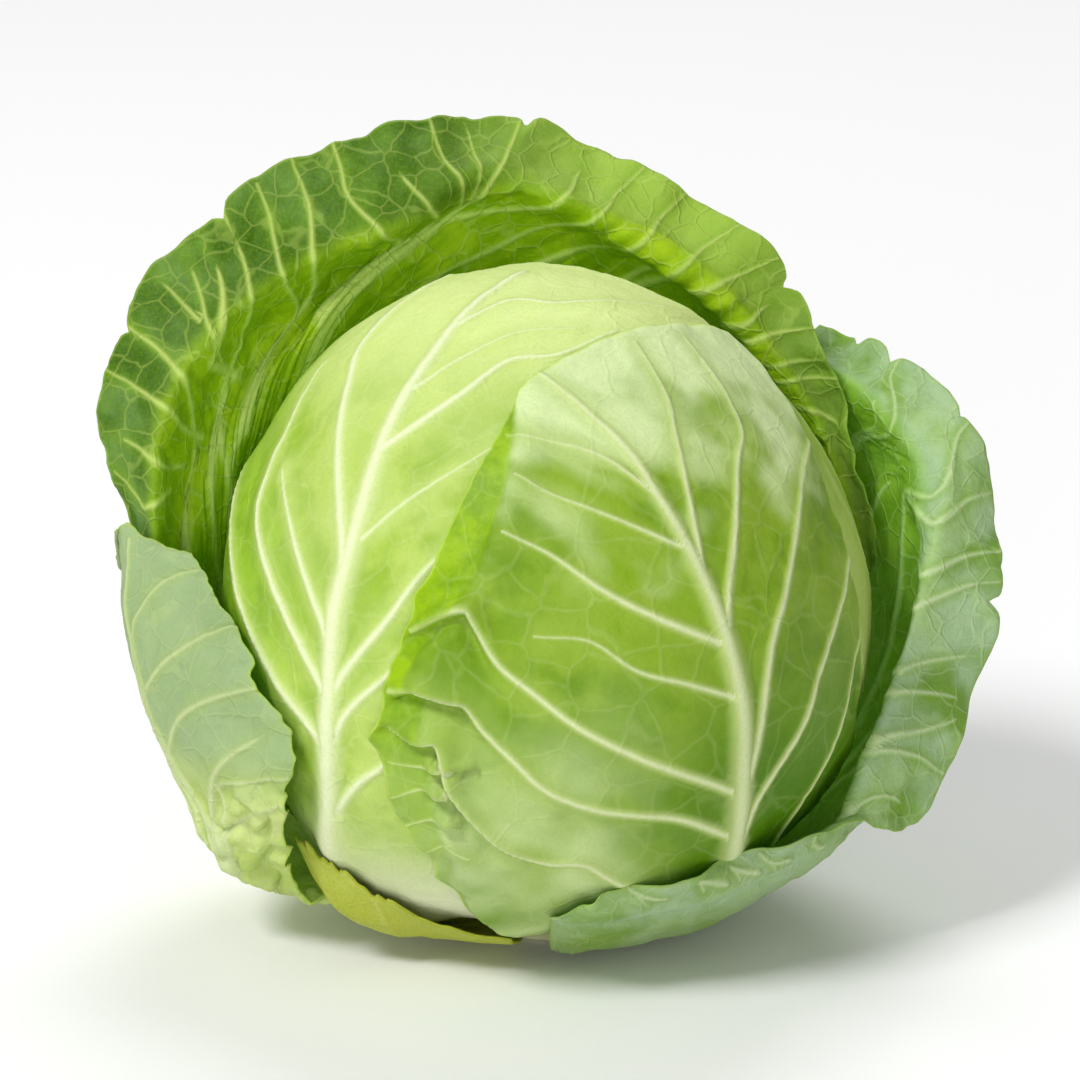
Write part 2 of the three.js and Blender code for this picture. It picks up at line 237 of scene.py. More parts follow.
# Loose outer leaves, rows from base to tip

BACK_LEAF = [
    foot_row(-120, -124, -128, -132, -136, -140, -144, -148, -152, -157, -162),
    polar_row((-100, -55, 89), (-103, -52, 89), (-108, -50, 89), (-113, -48, 89), (-119, -46, 89),
              (-125, -45, 89), (-135, -46, 89), (-148, -48, 89), (-162, -50, 89), (-182, -55, 89),
              (-205, -60, 89)),
    polar_row((-95, -38, 90), (-98, -25, 90), (-105, -18, 89), (-112, -12, 89), (-118, -8, 89),
              (-125, -5, 89), (-140, -10, 89), (-160, -15, 89), (-182, -22, 89), (-205, -33, 89),
              (-225, -45, 89)),
    polar_row((-92, -22, 92), (-94, 0, 91), (-101, 15, 90), (-108, 26, 89.5), (-114, 34, 89.5),
              (-122, 40, 89.5), (-148, 32, 89), (-175, 24, 89), (-200, 14, 89), (-225, 0, 89),
              (-238, -22, 89)),
    seen_row((-93, -12, 3), (-92, 25, 8), (-81, 52, 14), (-60, 73, 24), (-42, 84, 29),
             (-28, 92, 33), (-5, 88, 38), (25, 78, 40), (47, 58, 47), (64, 33, 52), (78, 2, 40)),
    seen_row((-97, -5, -2), (-98, 36, -6), (-87, 61, -2), (-64, 81, 8), (-37, 93, 14),
             (-14, 104, 22), (12, 92, 24), (35, 77, 26), (53, 59, 33), (70, 34, 36), (80, 5, 34)),
    seen_row((-99, -3, -2), (-105, 40, -4), (-95, 69, 0), (-70, 91, 10), (-39, 104, 18),
             (-10, 111, 27), (18, 99, 30), (44, 82, 30), (61, 61, 31), (74, 35, 32), (81, 6, 32)),
    seen_row((-100, -2, 0), (-111.75, 43, 2), (-102.5, 75.5, 5), (-75, 101.75, 15),
             (-40, 116, 25), (-7, 118.5, 33), (25, 105, 36), (53.75, 86.75, 32),
             (68, 61.75, 28), (77, 35.5, 28), (82, 8, 30)),
]
RIGHT_LEAF = [
    foot_row(98, 94, 90, 86, 81, 76, 71, 66, 60, 54, 46, 36, 26),
    polar_row((122, -56, 92), (116, -54, 92), (110, -52, 92), (104, -51, 92), (96, -51, 91),
              (88, -52, 91), (80, -54, 90), (74, -58, 89.5), (67, -61, 89), (58, -65, 88.5),
              (44, -68, 88), (28, -70, 87.6), (12, -71, 87.6)),
    polar_row((140, -26, 95), (130, -22, 95), (120, -20, 95), (110, -19, 95), (99, -22, 95),
              (88, -28, 94), (78, -38, 93), (75, -44, 91), (64, -53, 90.2), (52, -60, 90),
              (32, -65, 88.6), (12, -67, 88.2), (2, -67, 88)),
    polar_row((150, 10, 97), (136, 14, 97), (121, 13, 97), (107, 7, 97), (96, -4, 98),
              (87, -17, 98), (80, -29, 97), (71, -39, 95), (58, -48, 91.5), (46, -55, 91),
              (22, -61, 89.4), (8, -62.5, 88.8), (0, -63.5, 88.4)),
    seen_row((58, 58, 56), (79, 47, 28), (95.5, 30, 10), (95.3, 14, 0), (92, -3, -8),
             (86, -24, -16), (79, -43, -22), (71, -62, -22), (54, -71.5, -30),
             (38.5, -78.5, -36), (17, -82.5, -40), (8, -83, -40), (0, -82.5, -38)),
    seen_row((62, 62, 57), (82.5, 55, 31), (100.5, 40, 14), (104, 18, 6), (103, -1, -1),
             (97, -26, -10), (88, -47, -17), (73, -58, -24), (54, -67.5, -35),
             (38.5, -74, -42), (17.5, -78.5, -46), (8, -80.5, -46), (0, -80.5, -45.5)),
    seen_row((67.5, 66.75, 57), (85, 61, 34), (104, 45.5, 20), (111, 18, 14), (112.5, -3, 6),
             (105, -30, -4), (92, -57, -12), (76, -59, -26), (52.5, -64, -38),
             (37.5, -70, -45), (17.5, -74.5, -50), (8, -77, -51.5), (1, -78, -50)),
]
LEFT_LEAF = [
    foot_row(-66, -71, -77, -84, -91, radius=86),
    seen_row((-61, -74, -10), (-72, -72, -4), (-77, -66, 8))
    + polar_row((-95, -52, 95), (-112, -51, 97)),
    seen_row((-65, -54, -40), (-84, -54, -20), (-92, -48.5, 2))
    + polar_row((-104, -32, 102), (-122, -34, 99)),
    seen_row((-68, -33, -50), (-92, -32, -28), (-102, -28, -2))
    + polar_row((-104, -16, 105), (-122, -20, 101)),
    seen_row((-75, -15, -43), (-96, -13, -27), (-107, -6, -6))
    + polar_row((-101, -4, 106.5), (-114, -8, 104)),
    seen_row((-84, 0, -28), (-98, 3, -20), (-106.5, 8, -8))
    + polar_row((-94, 3, 109), (-99, 0, 108.5)),
    seen_row((-89, 9, -20), (-98, 12.5, -15), (-105.5, 16.75, -9))
    + polar_row((-88, 9, 109), (-89, 8, 109)),
]
TRIMMED_LEAF_BASE = [
    foot_row(-54, -49, -42, -34, -27, -18),
    polar_row((-60, -60, 88), (-55, -59, 90), (-50, -60, 90), (-42, -62, 89.6), (-28, -65, 88),
              (-12, -67, 87.2)),
    polar_row((-62, -47, 92), (-56, -49, 95), (-50, -53, 94), (-42, -56.5, 90.6),
              (-28, -60, 89), (-12, -62, 88.3)),
    polar_row((-63, -37, 88.6), (-56, -39, 88.6), (-49, -43, 88.4), (-41, -49.5, 88.2),
              (-27, -55.5, 88.8), (-12, -59, 88.3)),
]

# Veins as they look from the viewpoint: half width at the start and at the end, then points right
# and up of the head's centre, from the base outwards

FRONT_RIGHT_VEINS = [
    (4.2, 0.6, [(40, -76), (44.2, -65), (47, -46.8), (47, -28.2), (42.8, -10), (36.8, 4.8),
                (27.2, 22.2), (19.5, 34.2), (10, 43.8), (-2, 53.2)]),
    (1.2, 0.5, [(41.5, -12.5), (25.8, -6.2), (13.2, 0.2), (0.2, 9), (-9.8, 13.8)]),
    (0.9, 0.4, [(45.5, -26), (33.2, -22.5), (21.5, -19.5), (9.8, -12.2), (-2, -11)]),
    (1.3, 0.6, [(47, -50), (39, -46.8), (22.2, -40.8), (7.5, -33.5), (-4.2, -24.8),
                (-12.2, -18), (-18.2, -7.8), (-20.5, -4.2), (-26.2, -5.5), (-33, -9)]),
    (1.3, 0.6, [(45, -60), (31.8, -55.5), (11.2, -53.2), (-0.5, -48.8), (-8, -42.2),
                (-16, -34.2), (-20.5, -28), (-24.2, -26.5), (-32.2, -24), (-38, -24)]),
    (1.4, 0.6, [(42, -72), (18.5, -71.5), (8.5, -66.5), (-0.5, -65.8), (-10.8, -62),
                (-18, -55.5), (-24.2, -47.5), (-27.2, -36.8), (-33.2, -37.2), (-38, -34)]),
    (0.8, 0.4, [(27, 23), (12.5, 33.5), (-3.8, 38), (-9, 39)]),
    (0.8, 0.4, [(34, 10), (16, 18), (-0.2, 24.2), (-7, 28)]),
    (1.0, 0.45, [(37.5, 4), (34.2, 22.2), (30.8, 39.5), (29, 48), (22, 61)]),
    (1.2, 0.45, [(43.5, -13), (44.2, 3), (46.2, 30.8), (47, 40.2), (40, 54), (34.2, 62)]),
    (1.3, 0.5, [(49, -45), (53.8, -17.2), (58, 1), (61.8, 26.5), (63.5, 43), (58, 55)]),
    (1.3, 0.6, [(47, -60), (51.5, -50.2), (62.5, -32), (67.5, -16.5), (73.8, 8), (75, 20.5),
                (72, 34)]),
    (1.1, 0.6, [(48, -70), (58, -58), (68, -42), (74, -24), (77, -6)]),
    (0.7, 0.3, [(-25, -43), (-31, -43.5), (-38.5, -42.5)]),
    (0.7, 0.3, [(-25.5, -49.5), (-31, -48.5), (-37.5, -50)]),
    (0.6, 0.3, [(-24.5, -56), (-29, -55.5), (-35, -57)]),
    (0.5, 0.3, [(-21, -63), (-25, -61.5), (-29, -63)]),
]
FRONT_LEFT_VEINS = [
    (4.6, 0.9, [(-32.5, -80), (-42.5, -79), (-50.2, -70.2), (-55.2, -50.2), (-56, -28.2),
                (-54.5, -6.2), (-50.2, 12.2), (-41, 41.2), (-29.5, 60.5), (-19.5, 72.8),
                (-7.2, 81)]),
    (1.4, 0.5, [(-55.5, -18), (-57.5, -8.5), (-61.2, 1), (-66, 16), (-68, 30)]),
    (1.5, 0.6, [(-56, -32), (-58.2, -24), (-65.5, -9.2), (-73, 9.8), (-74.2, 21.5), (-70, 35),
                (-66.2, 43), (-58, 58)]),
    (1.6, 0.7, [(-55.5, -46), (-58.2, -37), (-68.5, -24), (-78.5, -2.8), (-81, 18.5),
                (-79, 32)]),
    (1.5, 0.8, [(-54.5, -4), (-52.5, 10), (-53.8, 33.8), (-51.2, 52), (-47.5, 63),
                (-37.2, 73.5), (-26, 80)]),
    (1.3, 0.6, [(-55.5, -28), (-52.5, -21), (-42, -8), (-31.8, 5.5), (-20, 15)]),
    (1.2, 0.6, [(-55, -42), (-51.8, -31.2), (-40.8, -21), (-30, -12)]),
    (1.4, 0.6, [(-55, -58), (-48.8, -48.8), (-42.8, -44.5), (-34, -36)]),
    (1.2, 0.5, [(-43, 36), (-36, 41), (-22.5, 50.5), (-10.2, 59), (2.5, 60.5), (16, 66)]),
    (0.8, 0.35, [(-24, 67), (-10.2, 74.2), (1.8, 73.5), (17.5, 73.8), (36, 70)]),
    (0.7, 0.35, [(-51, 10), (-38, 22), (-24, 31), (-12, 38)]),
    (0.7, 0.3, [(-37, 49), (-25, 58), (-8, 66), (6, 67)]),
]
# A midrib starts with its foot's place across the sheet, from 0 to 1; the back leaf's is hidden

BACK_MIDRIB = [0.5]
BACK_VEINS = [
    (0.6, 0.3, "rim", [(-101.2, 21.2), (-104.2, 25.8), (-108, 28.8)]),
    (0.6, 0.3, "rim", [(-98.8, 32.5), (-100.5, 36.2), (-105, 38.5), (-111, 40)]),
    (0.8, 0.3, "rim", [(-94.5, 42.2), (-98.2, 48.2), (-105, 52), (-111, 55.8)]),
    (1.5, 0.4, "wall", [(-92.2, 8.8), (-90, 31.8), (-88, 45), (-92, 52.8), (-94.5, 58),
                        (-97.5, 62.5), (-105.8, 66.2)]),
    (1.3, 0.35, "wall", [(-84.5, 20.5), (-84, 39.2), (-82.5, 53.5), (-85.5, 61.8),
                         (-88.2, 67.8), (-85.2, 71.5), (-86.3, 77.5), (-91.9, 85.8)]),
    (0.5, 0.3, "fork", [(-88.2, 67.8), (-93, 73.8), (-98.7, 78.2)]),
    (1.0, 0.35, "wall", [(-86.2, 58), (-82.5, 66.2), (-79, 70.5), (-80.3, 79), (-84, 86.5),
                         (-88.5, 91)]),
    (1.2, 0.4, "wall", [(-82.5, 48.5), (-79.5, 60), (-74, 71), (-72.8, 75.8), (-75.8, 83.5),
                        (-78.8, 90.2), (-81.8, 95.5)]),
    (1.2, 0.4, "wall", [(-80.2, 30.5), (-75.8, 41.5), (-72, 53.5), (-69, 61), (-70.2, 67.8),
                        (-67.5, 76), (-66, 88), (-68.3, 94.8), (-72.5, 100.8)]),
    (1.0, 0.4, "wall", [(-70.5, 58), (-64.5, 69.2), (-58.2, 84.2), (-57.8, 89.5), (-59, 95.5),
                        (-61.5, 101.5), (-64.2, 107.2)]),
    (1.0, 0.4, "wall", [(-57.8, 65.5), (-59, 69.2), (-57.5, 76.8), (-54, 81.8), (-48, 87.2),
                        (-50, 91.8), (-49.2, 100), (-51.5, 106.8), (-54, 111)]),
    (0.8, 0.4, "wall", [(-51, 71.5), (-48.8, 80.5), (-44, 86.5), (-41.3, 91), (-39, 96.2),
                        (-39.5, 103), (-39, 110.5), (-41, 116.5)]),
    (0.7, 0.4, "rim", [(-30, 90.5), (-26, 95.5), (-25.6, 99.2), (-28.6, 106.8),
                       (-30.5, 114.2), (-30, 119.5)]),
    (0.5, 0.3, "rim", [(-19.6, 100.8), (-18.5, 106.8), (-18.9, 111.2), (-21, 117)]),
    (1.0, 0.35, "wall", [(-30, 91.5), (-17.5, 93.4), (-9.2, 93.8), (1, 95.6), (4.8, 101.3),
                         (8, 105.8), (9.9, 109.6)]),
    (1.2, 0.35, "wall", [(-28, 80), (-17.5, 84.1), (-11.1, 86), (-4.1, 91.5), (6.8, 91.8),
                         (15.3, 95.6), (18.9, 101.3), (22.7, 104.8)]),
    (1.5, 0.4, "wall", [(-4.8, 81), (3.5, 82.8), (13.8, 86.3), (23, 87), (26.5, 92.4),
                        (30.3, 96.3), (34.8, 100.8)]),
    (0.9, 0.35, "rim", [(20.8, 79.6), (27.2, 82.3), (36.8, 85.8), (46.3, 90.8)]),
    (0.9, 0.35, "rim", [(33.5, 75.8), (41.2, 75.8), (48.2, 79), (55.9, 82.8)]),
    (0.8, 0.35, "rim", [(49.2, 67.5), (50.1, 70.8), (57.1, 72.3), (62.3, 75.5)]),
    (0.8, 0.35, "rim", [(50.8, 63.4), (53.9, 62.8), (65.4, 65.6)]),
    (0.7, 0.3, "rim", [(57.8, 56.8), (64.1, 56.8), (69.9, 58.6)]),
    (0.7, 0.3, "rim", [(59, 52.9), (71.8, 52.9)]),
    (0.7, 0.3, "rim", [(64.8, 45.8), (73.7, 40.1), (76.9, 38.3)]),
]
RIGHT_MIDRIB = [0.3, (83, -22), (85.5, -8.2), (87.5, -1.8), (91.2, 13), (93.9, 24.2),
                (96.8, 33.5), (102.2, 39), (105, 42)]
RIGHT_VEINS = [
    (0.9, 0.4, "wall", [(80, 14), (81.9, 20.5), (85, 27)]),
    (0.7, 0.3, "wall", [(75.8, 22.2), (78.2, 35.2), (82, 46)]),
    (0.7, 0.3, "wall", [(77.2, 37.2), (77.8, 47.5), (82.8, 54.8), (87.5, 58)]),
    (0.8, 0.35, "rim", [(95.8, 16.8), (101.2, 21), (110.2, 24.8)]),
    (0.8, 0.35, "rim", [(93.9, 3.8), (101.2, 8.5), (112, 9.8)]),
    (0.8, 0.35, "rim", [(92, -4), (99.5, -0.4), (112.5, 2.5)]),
    (1.2, 0.3, "rim", [(86.5, -20.2), (93, -17), (107.8, -16.2)]),
    (0.7, 0.35, "rim", [(87.5, -28), (94, -26), (103, -26)]),
    (0.9, 0.35, "rim", [(80, -38.4), (86.5, -37.5), (91.2, -32.8), (100.4, -32.4)]),
    (0.8, 0.35, "rim", [(81.9, -46.2), (91.2, -43.5), (98.5, -45.4)]),
    (1.2, 0.3, "rim", [(69.8, -55.5), (75.4, -50.5), (82.8, -52.8), (91.5, -56)]),
    (0.7, 0.35, "rim", [(72.7, -57.6), (76.8, -61)]),
    (0.7, 0.35, "rim", [(63.2, -57.9), (64.4, -61.3), (67, -63.7)]),
    (0.6, 0.3, "rim", [(53, -66), (56, -69)]),
    (0.7, 0.35, "rim", [(45.4, -68), (46.9, -71)]),
    (0.7, 0.35, "rim", [(36.5, -70.5), (38.3, -74)]),
    (0.6, 0.3, "rim", [(20, -74), (24, -78)]),
]
LEFT_MIDRIB = [0.5, (-80, -66), (-88.5, -58), (-95, -47), (-101.5, -34.5), (-105.5, -17),
               (-106.5, -2), (-105.5, 12)]
LEFT_VEINS = [
    (0.8, 0.4, "rim", [(-104.2, -9.5), (-102, -3), (-99.5, 2.8), (-94.8, 3.6), (-88, 6.5)]),
    (1.0, 0.4, "rim", [(-101.1, -28), (-98.5, -21.5), (-95.3, -15.8), (-90.9, -11),
                       (-83.2, -8.8), (-78.8, -8.8)]),
    (1.1, 0.4, "rim", [(-94.8, -47.1), (-94.8, -40.8), (-93.1, -33.8), (-90.2, -28),
                       (-87.7, -26.8), (-81.2, -25.8), (-71.1, -23.5)]),
    (1.1, 0.4, "rim", [(-84.5, -56), (-85.5, -49.7), (-84.5, -44.5), (-82, -42.2),
                       (-76.8, -40), (-73.3, -35), (-66.6, -33.8)]),
    (0.8, 0.4, "rim", [(-83.2, -48.8), (-75.5, -48.4), (-69.2, -46.2), (-65.3, -46.5)]),
    (0.8, 0.4, "rim", [(-80, -59.9), (-75.5, -55.4), (-71.8, -53.5), (-66.5, -52.8)]),
]
VEIN_STARTS = {"wall": 0.42, "rim": 0.66, "fork": 0.7}
VEIN_STEP = 1.0
LONG_LEAD = 0.7
SHORT_LEAD = 0.15
SEARCH_DEPTH = 40
SEARCH_STEPS = 500
SEARCH_BATCH = 4000


def spline_path(points, count):
    points = np.asarray(points, float)
    return spline_weights(len(points), np.linspace(0, 1, count)) @ points


def view_of(points):
    """Where points show: right and up in the view, as in seen()."""
    depth = points[..., 1] * math.cos(VIEW_TILT) - points[..., 2] * math.sin(VIEW_TILT)
    rise = points[..., 1] * math.sin(VIEW_TILT) + points[..., 2] * math.cos(VIEW_TILT)
    spread = (VIEW_DISTANCE + depth) / VIEW_DISTANCE
    right = VIEW_AXIS[0] + (points[..., 0] - VIEW_AXIS[0]) / spread
    up = VIEW_AXIS[1] + (rise - VIEW_AXIS[1]) / spread
    return right, up


def onto_head(right, up):
    """The point of the head's outside that shows at a place in the view."""
    depths = np.linspace(-HEAD_RADIUS - 2, SEARCH_DEPTH, SEARCH_STEPS)
    line = np.array([seen((right, up, d)) for d in depths])
    inside = np.linalg.norm(line, axis=1) < head_radius(unit(line))
    if inside.any():
        return line[np.argmax(inside)]
    return line[np.argmin(np.linalg.norm(line, axis=1))]


def drawn_veins(views):
    """Veins of a wrapper leaf, given as they look, as paths over the head's outside."""
    veins = []
    for start, end, points in views:
        path = np.array([onto_head(x, y) for x, y in points])
        veins.append((start, end, unit(spline_path(path, 12 * len(points))) * HEAD_RADIUS))
    return veins


class LeafView:
    """A loose leaf as it looks, to find the place on its sheet that shows where a vein does."""
    FINENESS = (160, 320)
    STEADINESS = (20, 30)

    def __init__(self, surface):
        self.t, self.v = unit_grid(*self.FINENESS)
        self.right, self.up = view_of(surface(self.t, self.v))

    def follow(self, start_t, points):
        places = []
        for right, up in points:
            off = np.hypot(self.right - right, self.up - up)
            t, v = places[-1] if places else (start_t, None)
            off = off + self.STEADINESS[0] * np.abs(self.t - t)
            if v is not None:
                off = off + self.STEADINESS[1] * np.abs(self.v - v)
            k = np.unravel_index(np.argmin(off), off.shape)
            places.append((self.t[k], self.v[k]))
        return places


def evened(places):
    """Places on a sheet with the small jumps between neighbours taken out."""
    for _ in range(2):
        between = [tuple(np.mean(places[k - 1:k + 2], axis=0)) for k in range(1, len(places) - 1)]
        places = places[:1] + between + places[-1:]
    return places


def sheet_path(surface, places, count):
    places = np.clip(spline_path(places, count), 0.004, 0.996)
    return surface(places[:, 0], places[:, 1])


def lead_in(mid, place, share):
    """Places that lead from the midrib up to where a side vein first shows."""
    t1, v1 = place
    t0 = (1 - share) * t1
    v0 = v1 + (np.interp(t0, mid[:, 0], mid[:, 1]) - v1) * (share / LONG_LEAD) ** 2
    return [(t0 + (t1 - t0) * s, v0 + (v1 - v0) * (1 - (1 - s) ** 1.8))
            for s in (0, 0.2, 0.4, 0.6, 0.8)]


def traced_veins(surface, midrib, mid_sizes, veins, least_lead=0):
    """Veins of a loose leaf: its midrib, and the bigger side veins leave it low down."""
    leaf = LeafView(surface)
    foot, *shown = midrib
    mid = [(0.02, foot)] + (evened(leaf.follow(0.3, shown)) if shown else [(0.97, foot)])
    found = [mid_sizes + (sheet_path(surface, mid, 120),)]
    for start, end, begin, points in veins:
        places = evened(leaf.follow(VEIN_STARTS[begin], points))
        if begin != "fork":
            share = LONG_LEAD if start >= least_lead else SHORT_LEAD
            places = lead_in(np.array(mid), places[0], share) + places
        found.append((1.35 * start, 1.3 * end, sheet_path(surface, places, 10 * len(places))))
    return found


def ruled_veins(surface, sizes, starts):
    """Veins by rule where the photo shows none: a midrib and pairs of side veins."""
    ts = np.linspace(0.02, 0.97, 80)
    veins = [sizes + (surface(ts, np.full(80, 0.5)),)]
    s = np.linspace(0, 1, 60)
    for k, start in enumerate(starts):
        share = k / max(len(starts) - 1, 1)
        for side in (-1, 1):
            t0 = start + 0.02 * side
            t = t0 + (min(0.99, t0 + 0.45) - t0) * s
            v = 0.5 + side * (0.53 - 0.36 * share) * (1 - (1 - s) ** 1.8)
            veins.append((1.0, 0.35, surface(t, v)))
    return veins


# Fields over a leaf's grid of points

def arc_lengths(points, axis):
    steps = np.linalg.norm(np.diff(points, axis=axis), axis=-1)
    zero = np.zeros_like(np.take(steps, [0], axis=axis))
    return np.concatenate([zero, np.cumsum(steps, axis=axis)], axis=axis)


def grid_normals(points):
    across = np.gradient(points, axis=1)
    along = np.gradient(points, axis=0)
    return unit(np.cross(across, along))


def even_path(path):
    """The same path in even steps, so that the nearest point of it can be looked up."""
    length = np.concatenate([[0], np.cumsum(np.linalg.norm(np.diff(path, axis=0), axis=1))])
    count = max(int(length[-1] / VEIN_STEP), 4)
    where = np.linspace(0, length[-1], count)
    return np.stack([np.interp(where, length, path[:, k]) for k in range(3)], -1)


def vein_fields(points, normals, veins):
    """For each point the nearest vein: signed distance to it, half width and plain distance."""
    centres, ways, widths = [], [], []
    for start, end, path in veins:
        path = even_path(path)
        centres.append(path)
        ways.append(unit(np.gradient(path, axis=0)))
        widths.append(np.linspace(start, end, len(path)))
    centre = np.concatenate(centres)
    way = np.concatenate(ways)
    width = np.concatenate(widths)
    flat = points.reshape(-1, 3)
    nearest = np.zeros(len(flat), int)
    squares = (centre ** 2).sum(1)
    for k in range(0, len(flat), SEARCH_BATCH):
        p = flat[k:k + SEARCH_BATCH]
        distance = (p ** 2).sum(1)[:, None] + squares - 2 * p @ centre.T
        distance = np.sqrt(np.maximum(distance, 0)) - width
        nearest[k:k + SEARCH_BATCH] = np.argmin(distance, axis=1)
    off = flat - centre[nearest]
    along = np.einsum("ij,ij->i", off, way[nearest])
    along = np.clip(along, -VEIN_STEP, VEIN_STEP)
    away = np.linalg.norm(off - along[:, None] * way[nearest], axis=1)
    side = np.einsum("ij,ij->i", np.cross(way[nearest], off), normals.reshape(-1, 3))
    shape = points.shape[:2]
    return side.reshape(shape), width[nearest].reshape(shape), away.reshape(shape)


def ruffle_height(ruffles, t, v):
    """Waves in the tip or the left margin, each with a slower beat under it."""
    height = np.zeros(t.shape)
    for edge, reach, size, waves, shift in ruffles:
        closeness, along = (t, v) if edge == "tip" else (1 - v, t)
        near = smoothstep(closeness, 1 - reach, 1)
        if edge == "left":
            near = near * (1 - smoothstep(t, 0.85, 1))
        turn = 2 * np.pi * (waves * along + shift)
        beat = 2 * np.pi * (0.37 * waves * along - shift)
        height = height + near * size * (np.sin(turn) + 0.5 * np.sin(beat)) / 1.5
    return height


def notched(plan, t, v, noise):
    """The leaf's own outline: small lobes in its margins, and bites out of its tip."""
    size, count = plan["tip_lobes"]
    depth = size * noise.rough(v * count, 0 * v + 3.3)
    for place, width, deep in plan["bites"]:
        depth = depth + deep * np.exp(-(np.abs(v - place) / width) ** 1.5)
    t_cut = t - smoothstep(t, 0.7, 1) * depth
    size, count = plan["left_lobes"]
    depth = size * noise.rough(t * count, 0 * t + 8.1)
    return t_cut, v + smoothstep(1 - v, 0.85, 1) * depth


# Meshes

def mesh_object(name, vertices, faces, attributes, material):
    mesh = bpy.data.meshes.new(name)
    mesh.from_pydata(((vertices + HEAD_CENTRE) * MM).tolist(), [], faces)
    for key, values in attributes.items():
        kind, field = ("FLOAT_VECTOR", "vector") if values.ndim == 2 else ("FLOAT", "value")
        layer = mesh.attributes.new(key, kind, "POINT")
        layer.data.foreach_set(field, values.astype(np.float32).ravel())
    mesh.polygons.foreach_set("use_smooth", [True] * len(mesh.polygons))
    mesh.materials.append(material)
    piece = bpy.data.objects.new(name, mesh)
    bpy.context.scene.collection.objects.link(piece)
    return piece


def shell_faces(rows, columns):
    """Quads of a closed two-sided grid: front, back and rim."""
    index = np.arange(rows * columns).reshape(rows, columns)
    a, b = index[:-1, :-1], index[:-1, 1:]
    c, d = index[1:, 1:], index[1:, :-1]
    front = np.stack([a, b, c, d], -1).reshape(-1, 4)
    shift = rows * columns
    back = front[:, ::-1] + shift
    loop = np.concatenate([index[0, :-1], index[:-1, -1], index[-1, :0:-1], index[:0:-1, 0]])
    following = np.roll(loop, -1)
    rim = np.stack([following, loop, loop + shift, following + shift], -1)
    return np.concatenate([front, back, rim]).tolist()


class Sheet:
    """What is known at each point of a leaf's sheet while it is being shaped."""

    def __init__(self, surface, plan, noise):
        rows, columns = plan["grid"]
        self.t, self.v = unit_grid(rows, columns)
        self.noise = noise
        plain = surface(self.t, self.v)
        self.left = arc_lengths(plain, 1)
        self.along = arc_lengths(plain, 0)
        self.rib = self.left - self.left[:, columns // 2:columns // 2 + 1]
        side = np.minimum(self.left, self.left[:, -1:] - self.left)
        tip = self.along[-1:] - self.along
        self.margin = np.minimum(side, tip)
        corner = np.hypot(side, tip)
        self.calm = 1 - np.exp(-((corner / CORNER_REACH) ** 2))
        self.move_to(surface(*notched(plan, self.t, self.v, noise)))

    def move_to(self, points):
        self.points = points
        self.normals = grid_normals(points)
        self.dirs = unit(points)

    def push(self, height):
        self.move_to(self.points + self.normals * (self.calm * height)[..., None])

    def stay_over(self, layer, half):
        """Keep a wrapper leaf's inner face off the leaf it lies on."""
        lowest = head_radius(self.dirs) - layer * LAYER_PITCH + LEAF_GAP + half
        radius = np.maximum(np.linalg.norm(self.points, axis=-1), lowest)
        self.points = self.dirs * radius[..., None]
        self.normals = grid_normals(self.points)

    def find_veins(self, plan):
        over = self.dirs * HEAD_RADIUS if plan["wrapped"] else self.points
        self.side, self.size, self.away = vein_fields(over, self.normals, plan["veins"])


def shaped_sheet(surface, plan):
    """A leaf's middle sheet with waved and notched margins, puckers and folds."""
    noise = Noise(SEED + plan["seed"])
    sheet = Sheet(surface, plan, noise)
    sheet.push(ruffle_height(plan["ruffles"], sheet.t, sheet.v))
    ripple = noise.rough(sheet.rib / 8, sheet.along / 8, 2)
    sheet.push(plan["ripple"] * np.exp(-sheet.margin / RIPPLE_REACH) * ripple)
    sheet.find_veins(plan)
    quilt = 1 - np.exp(-((sheet.away / QUILT_REACH) ** 2))
    crumple = plan["crumple"] * noise.rough(sheet.rib / 16 + 5, sheet.along / 22 + 9)
    creases = np.abs(noise.rough(sheet.rib / 7 + 3, sheet.along / 7 + 1))
    crumple = crumple + plan["crease"] * np.minimum(creases, 0.35)
    height = plan["out"] * (plan["quilt"] * quilt * smoothstep(sheet.margin, 0, 6)) + crumple
    sheet.push(height + plan["out"] * plan["relief"](sheet))
    return sheet


def leaf_faces(sheet, plan):
    """The outer and the inner face, with veins raised on them and thin margins."""
    broad = np.maximum(1.3 * sheet.size, 0.5)
    ridge = plan["ridge"] * sheet.size * np.exp(-((sheet.away / broad) ** 2))
    thin = smoothstep(sheet.t, 0, 0.3)
    half = (plan["base_thickness"] * (1 - thin) + plan["thickness"] * thin) / 2
    half = half * (0.55 + 0.45 * smoothstep(sheet.margin, 0, 1.5))
    if "over_layer" in plan:
        sheet.stay_over(plan["over_layer"], half)
    way = plan["out"] * sheet.normals
    outer = sheet.points + way * (half + ridge)[..., None]
    inner = sheet.points - way * (half + plan["inner_ridge"] * ridge)[..., None]
    return outer, inner


